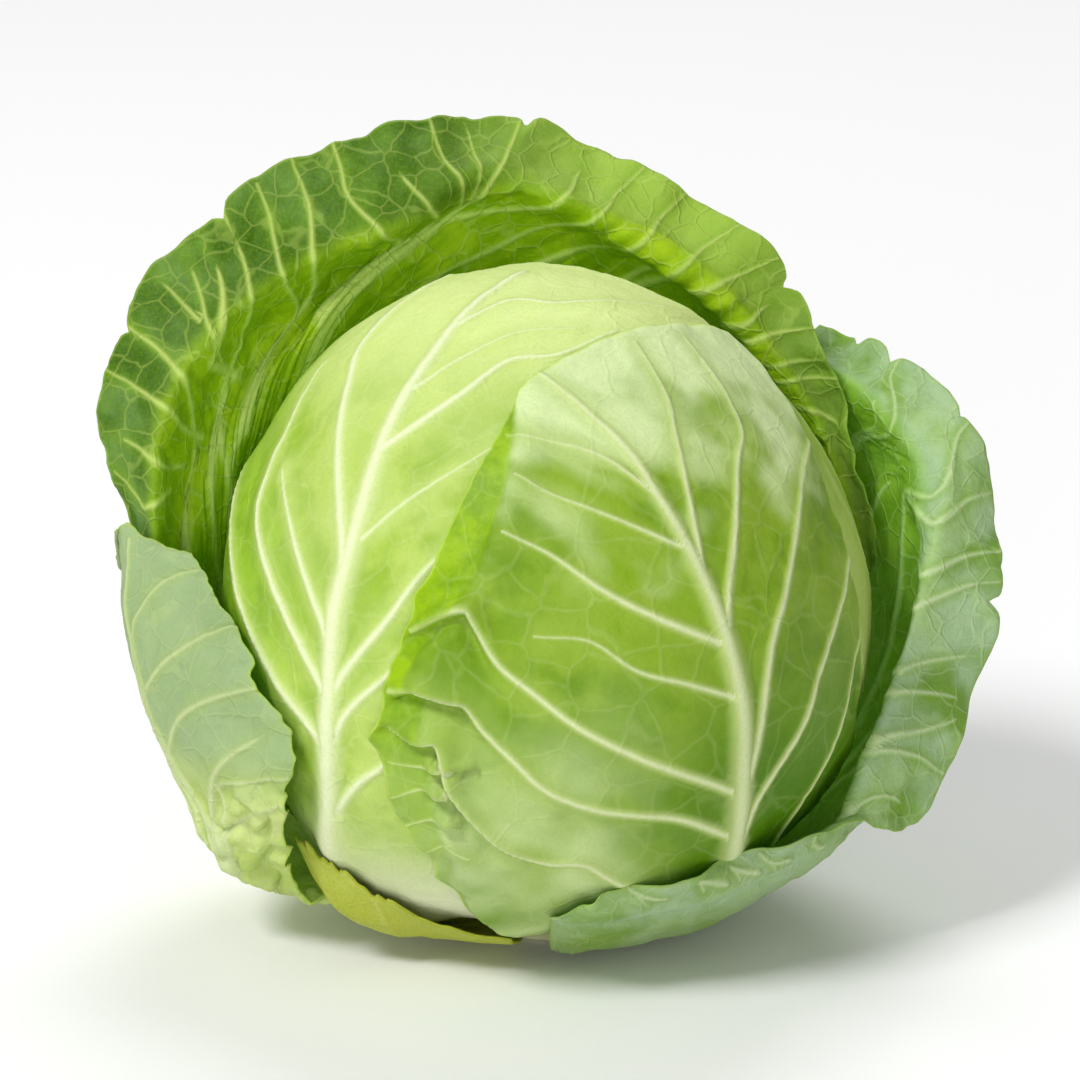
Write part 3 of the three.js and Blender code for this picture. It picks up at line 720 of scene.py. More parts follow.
def leaf_fields(sheet, plan, is_outer):
    """What the leaf's material reads at each vertex."""
    twice = lambda field: np.tile(np.asarray(field, float).ravel(), 2)
    wide = np.maximum(sheet.size, 0.25)
    # tone, pale and the dark share come from each leaf's paint; they carry painted light and shade
    # as well as the leaf's own colours.
    tone, pale, shade_and_dark_patches = (twice(share + 0 * sheet.t) for share in plan["paint"](sheet))
    return {
        "vein_side": np.clip(twice(sheet.side) / twice(wide), -8, 8),
        "vein_near": np.clip(twice(sheet.away) / twice(wide), 0, 8),
        "vein_away": np.clip(twice(sheet.away), 0, 20),
        "vein_strength": np.clip(twice(wide) * 1.1, 0.35, 1),
        "margin_mm": np.clip(twice(sheet.margin), 0, 60),
        "base_mm": np.clip(twice(sheet.along), 0, 200),
        "outer_face": is_outer,
        "leaf_mm": np.tile(sheet.points.reshape(-1, 3), (2, 1)),
        "tone": (1 - is_outer if plan["cup"] else 1) * tone,
        "pale": pale,
        "shade_and_dark_patches": shade_and_dark_patches,
    }


def leaf_piece(name, surface, plan, material):
    """A whole leaf with real thickness."""
    sheet = shaped_sheet(surface, plan)
    faces = leaf_faces(sheet, plan)[::plan["out"]]
    is_outer = np.repeat([1.0, 0.0][::plan["out"]], sheet.t.size)
    vertices = np.concatenate([face.reshape(-1, 3) for face in faces])
    attributes = leaf_fields(sheet, plan, is_outer)
    return mesh_object(name, vertices, shell_faces(*plan["grid"]), attributes, material)


# Materials

def shade(red, green, blue):
    """A colour given as it looks on a screen, 0 to 255."""
    return tuple((c / 255) ** 2.2 for c in (red, green, blue)) + (1.0,)


WHITE = (1.0, 1.0, 1.0, 1.0)
WAX = 0.14
LEAF_BUMP = 0.0006
FLESH_BUMP = 0.0008
CORE_SHARE = 0.6
NET_WOBBLE = (4.0, 4.0, 4.0)


class Nodes:
    """A short way to write a material's node tree."""

    def __init__(self, name):
        self.material = bpy.data.materials.new(name)
        self.material.use_nodes = True
        self.tree = self.material.node_tree
        self.tree.nodes.clear()

    def add(self, kind, inputs, **settings):
        node = self.tree.nodes.new(kind)
        for key, value in settings.items():
            setattr(node, key, value)
        for key, value in inputs.items():
            if isinstance(value, bpy.types.NodeSocket):
                self.tree.links.new(value, node.inputs[key])
            else:
                node.inputs[key].default_value = value
        return node

    def attribute(self, name, output="Fac"):
        return self.add("ShaderNodeAttribute", {}, attribute_name=name).outputs[output]

    def math(self, operation, a, b):
        return self.add("ShaderNodeMath", {0: a, 1: b}, operation=operation).outputs[0]

    def times(self, a, b):
        return self.math("MULTIPLY", a, b)

    def ramp(self, value, low, high, out_low=0.0, out_high=1.0):
        inputs = {"Value": value, "From Min": low, "From Max": high, "To Min": out_low,
                  "To Max": out_high}
        return self.add("ShaderNodeMapRange", inputs, interpolation_type="SMOOTHSTEP").outputs[0]

    def noise(self, vector, scale, detail, roughness):
        inputs = {"Vector": vector, "Scale": scale, "Detail": detail, "Roughness": roughness}
        return self.add("ShaderNodeTexNoise", inputs).outputs["Fac"]

    def mix(self, share, a, b):
        return self.add("ShaderNodeMix", {0: share, 6: a, 7: b}, data_type="RGBA").outputs[2]

    def bump(self, height, strength, distance):
        inputs = {"Height": height, "Strength": strength, "Distance": distance}
        return self.add("ShaderNodeBump", inputs).outputs[0]

    def finished(self, shader):
        self.add("ShaderNodeOutputMaterial", {"Surface": shader.outputs[0]})
        return self.material


def net_lines(n, where, cell_mm, line_mm):
    """Lines of a net of polygons, as the finest veins make."""
    wobble = n.add("ShaderNodeTexNoise", {"Vector": where, "Scale": 0.12, "Detail": 2.0})
    moved = n.add("ShaderNodeVectorMath", {0: wobble.outputs["Color"], 1: NET_WOBBLE},
                  operation="MULTIPLY")
    place = n.add("ShaderNodeVectorMath", {0: where, 1: moved.outputs[0]}, operation="ADD")
    cells = n.add("ShaderNodeTexVoronoi", {"Vector": place.outputs[0], "Scale": 1 / cell_mm},
                  feature="DISTANCE_TO_EDGE")
    return n.ramp(cells.outputs["Distance"], 0.1 * line_mm / cell_mm, line_mm / cell_mm, 1, 0)


def vein_mask(n, low, high):
    """1 on a vein: by its distance and, where a vein is thinner than the mesh, by its side."""
    close = n.ramp(n.attribute("vein_away"), 0.9, 1.3, 1, 0)
    thin = n.ramp(n.math("ABSOLUTE", n.attribute("vein_side"), 0.0), low, high, 1, 0)
    wide = n.ramp(n.attribute("vein_near"), low, high, 1, 0)
    return n.times(n.math("MAXIMUM", wide, n.times(thin, close)), n.attribute("vein_strength"))


def leaf_color(n, look, where, net, vein, core):
    """Mottled green under its bloom, deep and pale places with painted light and shade, veins,
    base, edge and grain, in turn.
    """
    patch = n.noise(where, 0.1, 4.0, 0.6)
    mottle = n.noise(where, 0.035, 4.0, 0.6)
    bloom = n.noise(where, 0.055, 4.0, 0.5)
    grain = n.noise(where, 1.3, 4.0, 0.7)
    tone = n.attribute("tone")
    away = n.attribute("vein_away")
    base = n.attribute("base_mm")
    two = n.ramp(patch, 0.35, 0.65)
    inner_share, *inner_colors = look["inner"]
    is_inner = n.math("SUBTRACT", 1.0, n.attribute("outer_face"))
    # Veins in the deep places take the deep_vein colour; inside the cups of the outer leaves it is
    # painted bright, for light shining through.
    vein_color = n.mix(tone, look["vein"], look["deep_vein"])
    core_color = n.mix(tone, look["core"], look["deep_vein"])
    color = n.mix(n.ramp(mottle, 0.42, 0.58), look["dark"], look["light"])
    for share, over in (
        (n.ramp(patch, 0.48, 0.7, 0, look["fresh_share"]), look["fresh"]),
        (n.ramp(bloom, 0.38, 0.66, 0, look["bloom"]), look["bloom_color"]),
        # The pale colour: a painted highlight on the head's crown and painted light low on the
        # front leaf's left; elsewhere the outer leaves' paler places.
        (n.attribute("pale"), look["pale"]),
        (n.times(is_inner, inner_share), n.mix(two, *inner_colors)),
        (n.ramp(away, 0.3, look["glow_reach"], look["glow_share"], 0), look["glow"]),
        # The deep colours: painted shade on the head's left flank and partly in the front leaf's
        # band, painted light inside the cups of the back and right leaves, and partly painted light
        # low on the left leaf.
        (tone, n.mix(two, look["deep"], look["deep_fresh"])),
        # Painted shade low on the front leaf's right, and darker patches on the back leaf's rim.
        (n.attribute("shade_and_dark_patches"), look["shade_and_dark_patches"]),
        (n.times(net, look["net"]), vein_color),
        (n.times(vein, look["vein_share"]), vein_color),
        (n.times(core, CORE_SHARE), core_color),
        (n.ramp(base, look["base_from"], look["base_to"], look["base_share"], 0), look["base"]),
        (n.ramp(n.attribute("margin_mm"), 0.2, 1.0, 0.6, 0), look["edge"]),
        (n.ramp(grain, 0.42, 0.68, 0.0, look["grain"]), look["deep"]),
    ):
        color = n.mix(share, color, over)
    return color


def leaf_material(name, look):
    """A waxy leaf with raised veins, fine relief and light passing through it."""
    n = Nodes(name)
    where = n.attribute("leaf_mm", "Vector")
    vein = vein_mask(n, 0.1, 2.0)
    core = vein_mask(n, 0.0, 0.9)
    net = net_lines(n, where, look["cell_mm"], look["line_mm"])
    fine = net_lines(n, where, look["cell_mm"] * 0.31, look["line_mm"] * 0.55)
    net = n.math("MAXIMUM", net, n.times(fine, look["fine_net"]))
    color = leaf_color(n, look, where, net, vein, core)

    height = n.math("ADD", vein, n.times(net, look["net_bump"]))
    height = n.math("ADD", height, n.times(n.noise(where, 0.6, 5.0, 0.65), look["skin"]))
    normal = n.bump(height, look["bump"], LEAF_BUMP)
    rough = n.ramp(n.noise(where, 0.25, 3.0, 0.6), 0.3, 0.7, *look["rough"])
    shader = n.add("ShaderNodeBsdfPrincipled", {"Base Color": color, "Roughness": rough,
                                                "Specular IOR Level": WAX, "Normal": normal})
    lit = n.mix(0.5, color, look["through"])
    through = n.add("ShaderNodeBsdfTranslucent", {"Color": lit, "Normal": normal})
    both = n.add("ShaderNodeMixShader", {0: look["translucent"], 1: shader.outputs[0],
                                         2: through.outputs[0]})
    return n.finished(both)


HEAD_LOOK = {
    # pale is a painted highlight on the crown; deep and deep_fresh are painted shade on the left
    # flank.
    "dark": shade(154, 188, 66), "light": shade(188, 213, 104), "fresh": shade(168, 204, 66),
    "fresh_share": 0.4, "bloom": 0.25, "bloom_color": shade(192, 214, 138),
    "pale": shade(226, 243, 156), "deep": shade(122, 168, 18), "deep_fresh": shade(152, 196, 42),
    "shade_and_dark_patches": shade(90, 130, 20), "deep_vein": shade(214, 234, 140),
    "inner": (0.4, shade(170, 196, 80), shade(196, 214, 112)),
    "glow": shade(202, 224, 128), "glow_share": 0.5, "glow_reach": 6.0,
    "cell_mm": 13.0, "line_mm": 0.7, "net": 0.1, "fine_net": 0.2,
    "vein": shade(226, 238, 174), "vein_share": 0.85, "core": shade(243, 248, 212),
    "base": shade(242, 243, 214), "base_from": 25.0, "base_to": 75.0, "base_share": 0.95,
    "edge": shade(200, 228, 100), "grain": 0.12,
    "net_bump": 0.3, "skin": 0.7, "bump": 0.5, "rough": (0.36, 0.5),
    "through": shade(196, 226, 50), "translucent": 0.12,
}
FRONT_LOOK = dict(
    # pale is painted light on the crown and low on the left; deep is the band's green, partly
    # painted shade; the darkest colour is painted shade low on the right.
    HEAD_LOOK, dark=shade(108, 148, 18), light=shade(140, 174, 48), fresh=shade(124, 166, 14),
    bloom_color=shade(154, 184, 84), pale=shade(222, 240, 176),
    deep=shade(116, 160, 8), deep_fresh=shade(156, 196, 16), shade_and_dark_patches=shade(78, 124, 0),
    deep_vein=shade(206, 226, 130), glow=shade(158, 188, 70), glow_share=0.35,
    vein=shade(204, 220, 142), core=shade(234, 242, 198), net=0.12,
    base=shade(184, 202, 96), base_from=12.0, base_to=45.0, base_share=0.3,
)
OUTER_LOOK = {
    "dark": shade(72, 112, 22), "light": shade(106, 146, 50), "fresh": shade(116, 164, 32),
    "fresh_share": 0.6, "bloom": 0.5, "bloom_color": shade(136, 172, 104),
    # deep and deep_fresh are painted light: bright green inside the cups for light shining through
    # them, and deep_vein likewise; the darkest colour makes patches on the rim.
    "pale": shade(190, 222, 92), "deep": shade(164, 212, 12), "deep_fresh": shade(204, 240, 36),
    "shade_and_dark_patches": shade(64, 104, 16), "deep_vein": shade(232, 255, 140),
    "inner": (0.0, WHITE, WHITE),
    "glow": shade(140, 182, 56), "glow_share": 0.5, "glow_reach": 3.5,
    "cell_mm": 8.5, "line_mm": 0.55, "net": 0.3, "fine_net": 0.15,
    "vein": shade(202, 224, 112), "vein_share": 1.0, "core": shade(228, 242, 150),
    "base": shade(190, 210, 110), "base_from": 10.0, "base_to": 70.0, "base_share": 0.5,
    "edge": shade(172, 204, 92), "grain": 0.2,
    "net_bump": 0.5, "skin": 0.9, "bump": 0.7, "rough": (0.38, 0.55),
    "through": shade(160, 212, 20), "translucent": 0.35,
}
RIGHT_LOOK = dict(
    OUTER_LOOK, dark=shade(132, 172, 76), light=shade(190, 218, 152), bloom=0.85,
    bloom_color=shade(196, 220, 182), vein=shade(218, 238, 176), core=shade(236, 247, 206),
    deep_vein=shade(214, 250, 156), deep=shade(136, 192, 36), deep_fresh=shade(168, 218, 64),
    pale=shade(208, 228, 212), fresh=shade(138, 184, 64), fresh_share=0.4,
)
LEFT_LOOK = dict(
    OUTER_LOOK, dark=shade(136, 170, 84), light=shade(170, 198, 122), fresh=shade(154, 186, 72),
    # deep and deep_fresh: the paler yellow green low down in front, partly painted light.
    deep=shade(208, 228, 118), deep_fresh=shade(240, 250, 170), glow=shade(184, 208, 122),
    glow_share=0.35, vein=shade(212, 226, 160), core=shade(228, 238, 188), net=0.25,
    bloom_color=shade(176, 202, 146), pale=shade(188, 209, 172), edge=shade(196, 222, 96),
    inner=(0.9, shade(140, 184, 16), shade(176, 214, 40)), deep_vein=shade(236, 246, 190),
    base=shade(206, 222, 136), bump=0.6,
)
BASE_LOOK = dict(
    HEAD_LOOK, dark=shade(170, 182, 56), light=shade(200, 210, 96), fresh=shade(176, 196, 50),
    deep=shade(128, 136, 24), deep_fresh=shade(160, 172, 36), glow=shade(196, 204, 100),
    glow_share=0.2, pale=shade(206, 214, 106), base=shade(182, 190, 74), edge=shade(160, 166, 46),
    bloom=0.1, vein=shade(204, 210, 114), core=shade(214, 218, 134), grain=0.3,
)


def flesh_material(name, pale, dark, cell_scale):
    """Cut or bare stalk: pale flesh with fibres and darker specks."""
    n = Nodes(name)
    place = n.add("ShaderNodeNewGeometry", {}).outputs["Position"]
    mottle = n.noise(place, 160.0, 5.0, 0.6)
    color = n.mix(n.ramp(mottle, 0.35, 0.7), pale, dark)
    cells = n.add("ShaderNodeTexVoronoi", {"Vector": place, "Scale": cell_scale})
    color = n.mix(n.ramp(cells.outputs["Distance"], 0.0, 0.5, 0.35, 0.0), color, dark)
    normal = n.bump(mottle, 0.5, FLESH_BUMP)
    return n.finished(n.add("ShaderNodeBsdfPrincipled", {"Base Color": color, "Normal": normal,
                                                         "Roughness": 0.7}))


# How each leaf is painted: the shares of its deep colour, its pale one and its darkest one, which
# carry painted light and shade where each says

def plain_paint(sheet):
    return 0, 0, 0


def front_left_paint(sheet):
    """Painted shade, deep on the left flank between the veins, and a painted highlight, pale on the
    crown.
    """
    flank = smoothstep(-sheet.dirs[..., 0], 0.62, 0.97)
    between = smoothstep(sheet.away, 0.5, 5)
    crown = smoothstep(sheet.dirs[..., 2], 0.55, 0.98)
    return 0.85 * flank * between * (1 - 0.6 * crown), 0.9 * crown, 0


def front_right_paint(sheet):
    """Deep along the ruffled margin, partly the band's own deeper green and partly painted shade;
    painted shade low on the right; pale on the crown and low on the left, painted light.
    """
    x, _, z = np.moveaxis(sheet.dirs, -1, 0)
    band = 1 - smoothstep(band_edge(sheet), -2, 1)
    patches = sheet.noise.rough(sheet.rib / 14 + 7, sheet.along / 14)
    crown = smoothstep(z + 0.25 * patches, 0.4, 0.74)
    low_left = smoothstep(-z, -0.15, 0.6) * (1 - smoothstep(x, 0.05, 0.45))
    # Painted shade: darker low on the right, kept off the veins.
    shade_and_dark_patches = smoothstep(x, 0.05, 0.65) * smoothstep(-z, -0.3, 0.45)
    deep = band * (0.2 + 0.7 * smoothstep(z, -0.4, 0.05))
    low_left = low_left * (0.52 + 0.5 * patches)
    pale = np.clip(np.maximum(0.95 * crown, low_left) * (1 - 0.25 * band), 0, 1)
    return deep, pale, 0.95 * shade_and_dark_patches * smoothstep(sheet.away, -2, 3)


def outer_paint(sheet):
    """Bright deep green inside the cup of the leaf, painted light shining through it; darker
    patches on the left of the rim, pale on the right.
    """
    wall = wall_share(sheet, BACK_CREST)
    x = sheet.points[..., 0]
    right = smoothstep(x, -45, 20) * (1 - 0.45 * smoothstep(x, 40, 70))
    patches = sheet.noise.rough(sheet.v * 40 + 3, sheet.t * 8)
    shade_and_dark_patches = (1 - wall) * (1 - right) * smoothstep(patches, -0.7, 0.5)
    return 0.92 * wall, 0.85 * right * (1 - wall), 0.75 * shade_and_dark_patches


def right_paint(sheet):
    """Deep green inside its cup, painted light shining through it, with a bluish bloom along the
    fold of its rim.
    """
    off = sheet.t - np.interp(sheet.v, *RIGHT_CREST)
    return 0.9 * wall_share(sheet, RIGHT_CREST), 0.35 * np.exp(-(((off - 0.02) / 0.04) ** 2)), 0


def left_paint(sheet):
    """Yellower and paler low down in front, partly its own colour and partly painted light, with a
    bluish bloom towards the tip.
    """
    low = smoothstep(-sheet.dirs[..., 2], 0.26, 0.5)
    return 0.9 * low, 0.5 * (1 - low), 0


# Relief of each leaf beside its veins, in millimetres outwards

def front_left_relief(sheet):
    """Channels between the veins on the left flank."""
    flank = smoothstep(-sheet.dirs[..., 0], 0.55, 0.9)
    return -0.7 * flank * (1 - np.exp(-((sheet.away / 5) ** 2)))


BAND_T = (0.2, 0.25, 0.3, 0.38, 0.44, 0.5, 0.56, 0.62, 0.66, 0.7, 0.75, 0.8, 0.85, 0.9, 1)
BAND_WIDTH = (0, 2, 6, 12, 15, 12, 6, 9, 14, 13.5, 12.5, 11, 8, 6, 3)


def band_edge(sheet):
    """How far a point lies inside the inner edge of the leaf's ruffled left band."""
    return sheet.left - np.interp(sheet.t, BAND_T, BAND_WIDTH)


def front_right_relief(sheet):
    """The blade stands higher than its ruffled left band, and veins pinch the band up in folds."""
    inside = band_edge(sheet)
    step = 1.3 * smoothstep(inside, -1.5, 1.5) - 1.3
    shoulder = 0.9 * np.exp(-(((inside - 4) / 4.5) ** 2))
    folded = smoothstep(sheet.t, 0.25, 0.32) * (1 - smoothstep(sheet.t, 0.64, 0.7))
    near = folded * smoothstep(sheet.left, 0, 5) * (1 - smoothstep(sheet.left, 18, 34))
    near = near * smoothstep(sheet.size, 0.5, 0.6)
    ridge = 2.1 * np.exp(-(((sheet.side + 0.8) / 2.0) ** 2))
    hollow = 2.8 * np.exp(-(((sheet.side - 2.4) / 2.0) ** 2))
    pleats = 0.7 * sheet.noise.rough(sheet.along / 5, sheet.left / 14, 2)
    return step + shoulder + near * (ridge - hollow) + pleats * (1 - smoothstep(inside, -2, 2))


BACK_CREST = (0, 0.4, 0.48, 0.53, 0.65, 1), (0.74, 0.71, 0.65, 0.7, 0.78, 0.76)
RIGHT_CREST = (0, 0.15, 0.3, 0.36, 0.5, 1), (0.74, 0.65, 0.58, 0.63, 0.66, 0.66)


def wall_share(sheet, crest):
    """1 inside the cup of an outer leaf, 0 on its turned-out rim."""
    return 1 - smoothstep(sheet.t - np.interp(sheet.v, *crest), -0.03, 0.05)


def sharp_crest(crest, height, pleat):
    """A fold line where the wall of a leaf turns out into its rim, with pleats on the wall."""
    def relief(sheet):
        off = sheet.t - np.interp(sheet.v, *crest)
        peak = np.where(off < 0, np.exp(off / 0.05), np.exp(-off / 0.03))
        pleats = pleat * sheet.noise.rough(sheet.v * 90, sheet.t * 4, 2)
        return -height * peak + pleats * wall_share(sheet, crest)
    return relief


def left_relief(sheet):
    """The leaf is crumpled low down in front."""
    low = smoothstep(-sheet.dirs[..., 2], 0.3, 0.46)
    near = 1 - smoothstep(sheet.left, 18, 34)
    folds = np.abs(sheet.noise.rough(sheet.left / 12 + 2, sheet.along / 8 + 4, 2))
    small = sheet.noise.rough(sheet.left / 5, sheet.along / 5, 2)
    return low * near * (6.5 * np.minimum(folds, 0.4) - 1.3 + 1.1 * small)


# The pieces. A leaf's plan holds sizes in millimetres, ruffles as edge, reach, size, waves and
# shift, lobes as size and count, and bites as place, width and depth, in shares of the sheet.

LEAF = {
    "wrapped": False, "cup": False, "out": 1, "thickness": 0.6, "base_thickness": 1.0,
    "ridge": 0.5, "inner_ridge": 0.1, "ruffles": [], "ripple": 0.0, "crease": 0.0,
    "left_lobes": (0, 0), "bites": [], "paint": plain_paint, "relief": lambda sheet: 0.0,
}
HEAD_LEAF = dict(LEAF, wrapped=True, thickness=0.7, crumple=0.45, crease=0.5, ridge=0.42)
OUTER_LEAF = dict(LEAF, out=-1, base_thickness=2.4)
CUPPED_LEAF = dict(OUTER_LEAF, cup=True, quilt=0.7, inner_ridge=0.6)
HIDDEN_WRAPPERS = [
    ("wrapper_leaf_left", LEFT_WRAPPER, 4.4, 11),
    ("wrapper_leaf_back", BACK_WRAPPER, 3, 12),
    ("wrapper_leaf_right", RIGHT_WRAPPER, 2, 13),
]
SIDE_VEIN_STARTS = (0.05, 0.13, 0.22, 0.33, 0.45, 0.6)


def dress(piece, node):
    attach(piece, "root")
    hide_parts(node)


def build_hidden_wrappers(material):
    for node, rows, layer, seed in HIDDEN_WRAPPERS:
        surface = wrapped_surface(rows, layer)
        veins = ruled_veins(surface, (2.4, 0.5), SIDE_VEIN_STARTS)
        plan = dict(
            LEAF, grid=(96, 104), seed=seed, wrapped=True, quilt=-0.3, crumple=0.2, ridge=0.4,
            tip_lobes=(0.01, 9),
            veins=[(start, end, unit(path) * HEAD_RADIUS) for start, end, path in veins],
        )
        piece = leaf_piece(node.replace("wrapper", "fine_wrapper"), surface, plan, material)
        dress(piece, node)


def build_front_left(material):
    plan = dict(
        HEAD_LEAF, grid=(215, 215), seed=21, quilt=-0.45, tip_lobes=(0.012, 26),
        paint=front_left_paint, relief=front_left_relief, veins=drawn_veins(FRONT_LEFT_VEINS),
    )
    piece = leaf_piece("front_left_leaf", wrapped_surface(FRONT_LEFT_WRAPPER, 1), plan, material)
    dress(piece, "wrapper_leaf_front_left")


def build_front_right(material):
    plan = dict(
        HEAD_LEAF, grid=(220, 215), seed=22, quilt=-0.5, ripple=1.0, over_layer=1,
        ruffles=[("left", 0.14, 1.3, 6, 0.1), ("left", 0.08, 0.5, 17, 0.4)],
        left_lobes=(0.02, 22), tip_lobes=(0.006, 14),
        paint=front_right_paint, relief=front_right_relief, veins=drawn_veins(FRONT_RIGHT_VEINS),
    )
    surface = wrapped_surface(FRONT_RIGHT_WRAPPER, -0.2)
    piece = leaf_piece("front_right_leaf", surface, plan, material)
    dress(piece, "wrapper_leaf_front_right")


def build_back_leaf(material):
    surface = loose_surface(BACK_LEAF)
    plan = dict(
        CUPPED_LEAF, grid=(150, 325), seed=31, ripple=1.2, crumple=0.8, crease=0.6,
        ruffles=[("tip", 0.3, 2.2, 10, 0.2), ("tip", 0.16, 0.7, 27, 0.5)],
        tip_lobes=(0.025, 34),
        bites=[(0.275, 0.004, 0.035), (0.17, 0.004, 0.03), (0.505, 0.004, 0.05),
               (0.74, 0.004, 0.04)],
        paint=outer_paint, relief=sharp_crest(BACK_CREST, 2.2, 0.9),
        veins=traced_veins(surface, BACK_MIDRIB, (3.0, 0.5), BACK_VEINS, 1.2),
    )
    dress(leaf_piece("back_leaf", surface, plan, material), "outer_leaf_back")


def build_right_leaf(material):
    surface = loose_surface(RIGHT_LEAF)
    plan = dict(
        CUPPED_LEAF, grid=(130, 290), seed=32, ripple=1.0, crumple=0.7, crease=0.5,
        ruffles=[("tip", 0.25, 1.8, 8, 0.6), ("tip", 0.16, 0.6, 21, 0.1)],
        tip_lobes=(0.025, 30),
        bites=[(0.05, 0.006, 0.07), (0.09, 0.006, 0.08), (0.165, 0.004, 0.04),
               (0.335, 0.005, 0.06), (1.0, 0.07, 0.28)],
        paint=right_paint, relief=sharp_crest(RIGHT_CREST, 1.6, 0.3),
        veins=traced_veins(surface, RIGHT_MIDRIB, (2.2, 0.45), RIGHT_VEINS, 1.2),
    )
    dress(leaf_piece("right_leaf", surface, plan, material), "outer_leaf_right")


def build_left_leaf(material):
    surface = loose_surface(LEFT_LEAF)
    plan = dict(
        OUTER_LEAF, grid=(170, 150), seed=33, ripple=1.2, quilt=-0.7, crumple=0.9, crease=0.8,
        ruffles=[("left", 0.25, 1.5, 4, 0.3), ("left", 0.2, 0.6, 11, 0.1)],
        left_lobes=(0.04, 14), tip_lobes=(0.02, 8), paint=left_paint, relief=left_relief,
        veins=traced_veins(surface, LEFT_MIDRIB, (2.4, 0.7), LEFT_VEINS),
    )
    dress(leaf_piece("left_leaf", surface, plan, material), "outer_leaf_left")


def build_leaf_stub(material):
    surface = loose_surface(TRIMMED_LEAF_BASE)
    plan = dict(
        LEAF, grid=(50, 100), seed=34, thickness=1.0, base_thickness=2.4, ripple=0.6,
        quilt=-0.3, crumple=0.6, ridge=0.3, tip_lobes=(0.1, 18),
        veins=ruled_veins(surface, (1.6, 0.8), (0.3,)),
    )
    dress(leaf_piece("leaf_stub", surface, plan, material), "trimmed_leaf_base")


def closed_rings(name, rings, material):
    """A closed body through rings of points, ended by a fan at the bottom and the top."""
    count, sides = rings.shape[:2]
    index = np.arange(count * sides).reshape(count, sides)
    turned = np.roll(index, -1, axis=1)
    faces = np.stack([index[:-1], turned[:-1], turned[1:], index[1:]], -1).reshape(-1, 4).tolist()
    low = count * sides
    high = low + 1
    faces += [[low, b, a] for a, b in zip(index[0].tolist(), turned[0].tolist())]
    faces += [[high, a, b] for a, b in zip(index[-1].tolist(), turned[-1].tolist())]
    points = np.concatenate([rings.reshape(-1, 3), [rings[0].mean(0)], [rings[-1].mean(0)]])
    return mesh_object(name, points, faces, {}, material)


def build_heart(material):
    """The inner head, with faint folds where its own leaves overlap."""
    rings, sides = 70, 120
    elevation = np.radians(np.linspace(-88, 88, rings))[:, None]
    azimuth = np.linspace(0, 2 * np.pi, sides, endpoint=False)[None, :]
    dirs = np.stack([np.cos(elevation) * np.sin(azimuth), -np.cos(elevation) * np.cos(azimuth),
                     np.sin(elevation) + 0 * azimuth], -1)
    fold = np.tanh(6 * np.sin(3 * azimuth + 2.5 * elevation))
    radius = head_radius(dirs) - HEART_LAYER * LAYER_PITCH + 0.35 * (fold - 1)
    dress(closed_rings("fine_heart", dirs * radius[..., None], material), "heart")


def build_stem(material):
    """The stump, slightly lobed, with a flat cut underneath."""
    noise = Noise(SEED + 40)
    angle = np.linspace(0, 2 * np.pi, 96, endpoint=False)
    low = -GROUND_BELOW_CENTRE
    high = -STEM_TOP_BELOW_CENTRE
    profile = [(0.3, low), (0.6, low), (0.85, low), (0.95, low), (0.99, low + 0.6)]
    profile += [(1.0, z) for z in np.linspace(low + 1.6, high - 2, 12)]
    profile += [(0.97, high - 0.8), (0.9, high), (0.5, high)]
    rings = []
    for share, z in profile:
        radius = STEM_RADIUS + (STEM_TOP_RADIUS - STEM_RADIUS) * (z - low) / (high - low)
        lobes = 0.35 * np.cos(5 * angle) + 0.5 * noise.at(angle * 5, 0 * angle + z / 3)
        wall = share * (radius - 0.6 + lobes * smoothstep(np.array(share), 0.6, 1.0))
        rings.append(np.stack([wall * np.sin(angle), -wall * np.cos(angle), 0 * angle + z], -1))
    dress(closed_rings("fine_stem", np.array(rings), material), "stem")


# The stage

LAMPS = [
    ("key", (-0.5, -0.5, 0.8), 0.3, 0.64),
    ("front", (-0.15, -1.0, 0.12), 0.5, 0.3),
    ("back", (0.1, 0.6, 0.9), 0.5, 0.35),
]
LAMP_DISTANCE = 5.0
SURROUND_STRENGTH = 0.34
FLOOR_COLOR = (0.95, 0.95, 0.95, 1.0)
FLOOR_SIZE = 30
FLOOR_HEIGHT = -0.0002


def area_light(name, way, spread, strength):
    """A round soft lamp; strength is the share of a white surface's brightness it gives."""
    light = bpy.data.lights.new(name, "AREA")
    light.shape = "DISK"
    light.size = spread * LAMP_DISTANCE
    light.energy = strength * math.pi ** 2 * LAMP_DISTANCE ** 2
    lamp = bpy.data.objects.new(name, light)
    bpy.context.scene.collection.objects.link(lamp)
    lamp.location = Vector(way).normalized() * LAMP_DISTANCE + Vector(HEAD_CENTRE * MM)
    lamp.rotation_euler = Vector(way).to_track_quat("Z", "Y").to_euler()


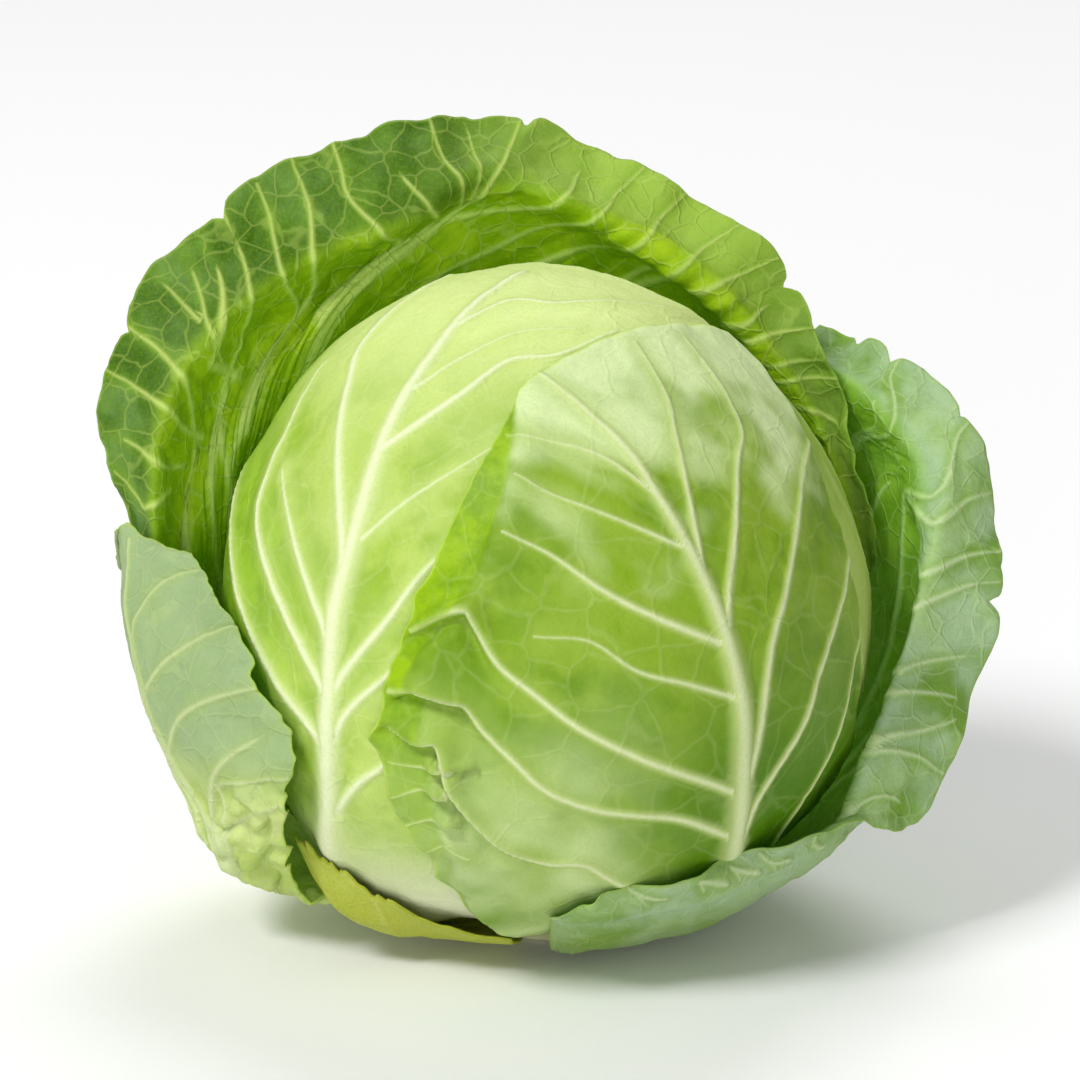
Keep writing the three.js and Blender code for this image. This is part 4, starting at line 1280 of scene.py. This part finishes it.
def build_stage():
    world = bpy.data.worlds.new("studio")
    world.use_nodes = True
    surround = world.node_tree.nodes["Background"].inputs
    surround["Color"].default_value = WHITE
    surround["Strength"].default_value = SURROUND_STRENGTH
    bpy.context.scene.world = world
    n = Nodes("pale_floor")
    shader = n.add("ShaderNodeBsdfPrincipled", {"Base Color": FLOOR_COLOR, "Roughness": 0.8})
    bpy.ops.mesh.primitive_plane_add(size=FLOOR_SIZE, location=(0, 0, FLOOR_HEIGHT))
    floor = bpy.context.object
    floor.name = "floor"
    floor.data.materials.append(n.finished(shader))
    for lamp in LAMPS:
        area_light(*lamp)


def build_camera():
    lens = bpy.data.cameras.new("camera")
    lens.sensor_width = SENSOR_WIDTH
    lens.lens = SENSOR_WIDTH * VIEW_DISTANCE / VIEW_WIDTH
    camera = bpy.data.objects.new("camera", lens)
    bpy.context.scene.collection.objects.link(camera)
    place = seen((VIEW_AXIS[0], VIEW_AXIS[1], -VIEW_DISTANCE)) + HEAD_CENTRE
    camera.location = place * MM
    camera.rotation_euler = (math.pi / 2 - VIEW_TILT, 0, 0)
    bpy.context.scene.camera = camera


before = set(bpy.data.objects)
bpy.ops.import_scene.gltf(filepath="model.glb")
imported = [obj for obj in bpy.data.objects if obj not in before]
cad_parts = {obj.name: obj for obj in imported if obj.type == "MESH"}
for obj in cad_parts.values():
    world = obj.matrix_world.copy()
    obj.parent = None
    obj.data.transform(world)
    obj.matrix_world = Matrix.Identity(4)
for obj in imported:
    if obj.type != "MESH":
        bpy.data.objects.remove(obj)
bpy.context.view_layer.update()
stem_box = np.array(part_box("stem")) / MM
HEAD_CENTRE = np.array([*stem_box.mean(0)[:2], GROUND_BELOW_CENTRE])

bpy.context.scene.view_settings.view_transform = "Standard"
build_camera()
build_stage()
head_material = leaf_material("head_leaf", HEAD_LOOK)
build_hidden_wrappers(head_material)
build_front_left(head_material)
build_front_right(leaf_material("front_leaf", FRONT_LOOK))
build_back_leaf(leaf_material("back_leaf", OUTER_LOOK))
build_right_leaf(leaf_material("right_leaf", RIGHT_LOOK))
build_left_leaf(leaf_material("left_leaf", LEFT_LOOK))
build_leaf_stub(leaf_material("leaf_stub", BASE_LOOK))
build_heart(flesh_material("heart", shade(205, 220, 150), shade(186, 208, 120), 90.0))
build_stem(flesh_material("stem", shade(214, 218, 170), shade(176, 180, 110), 300.0))
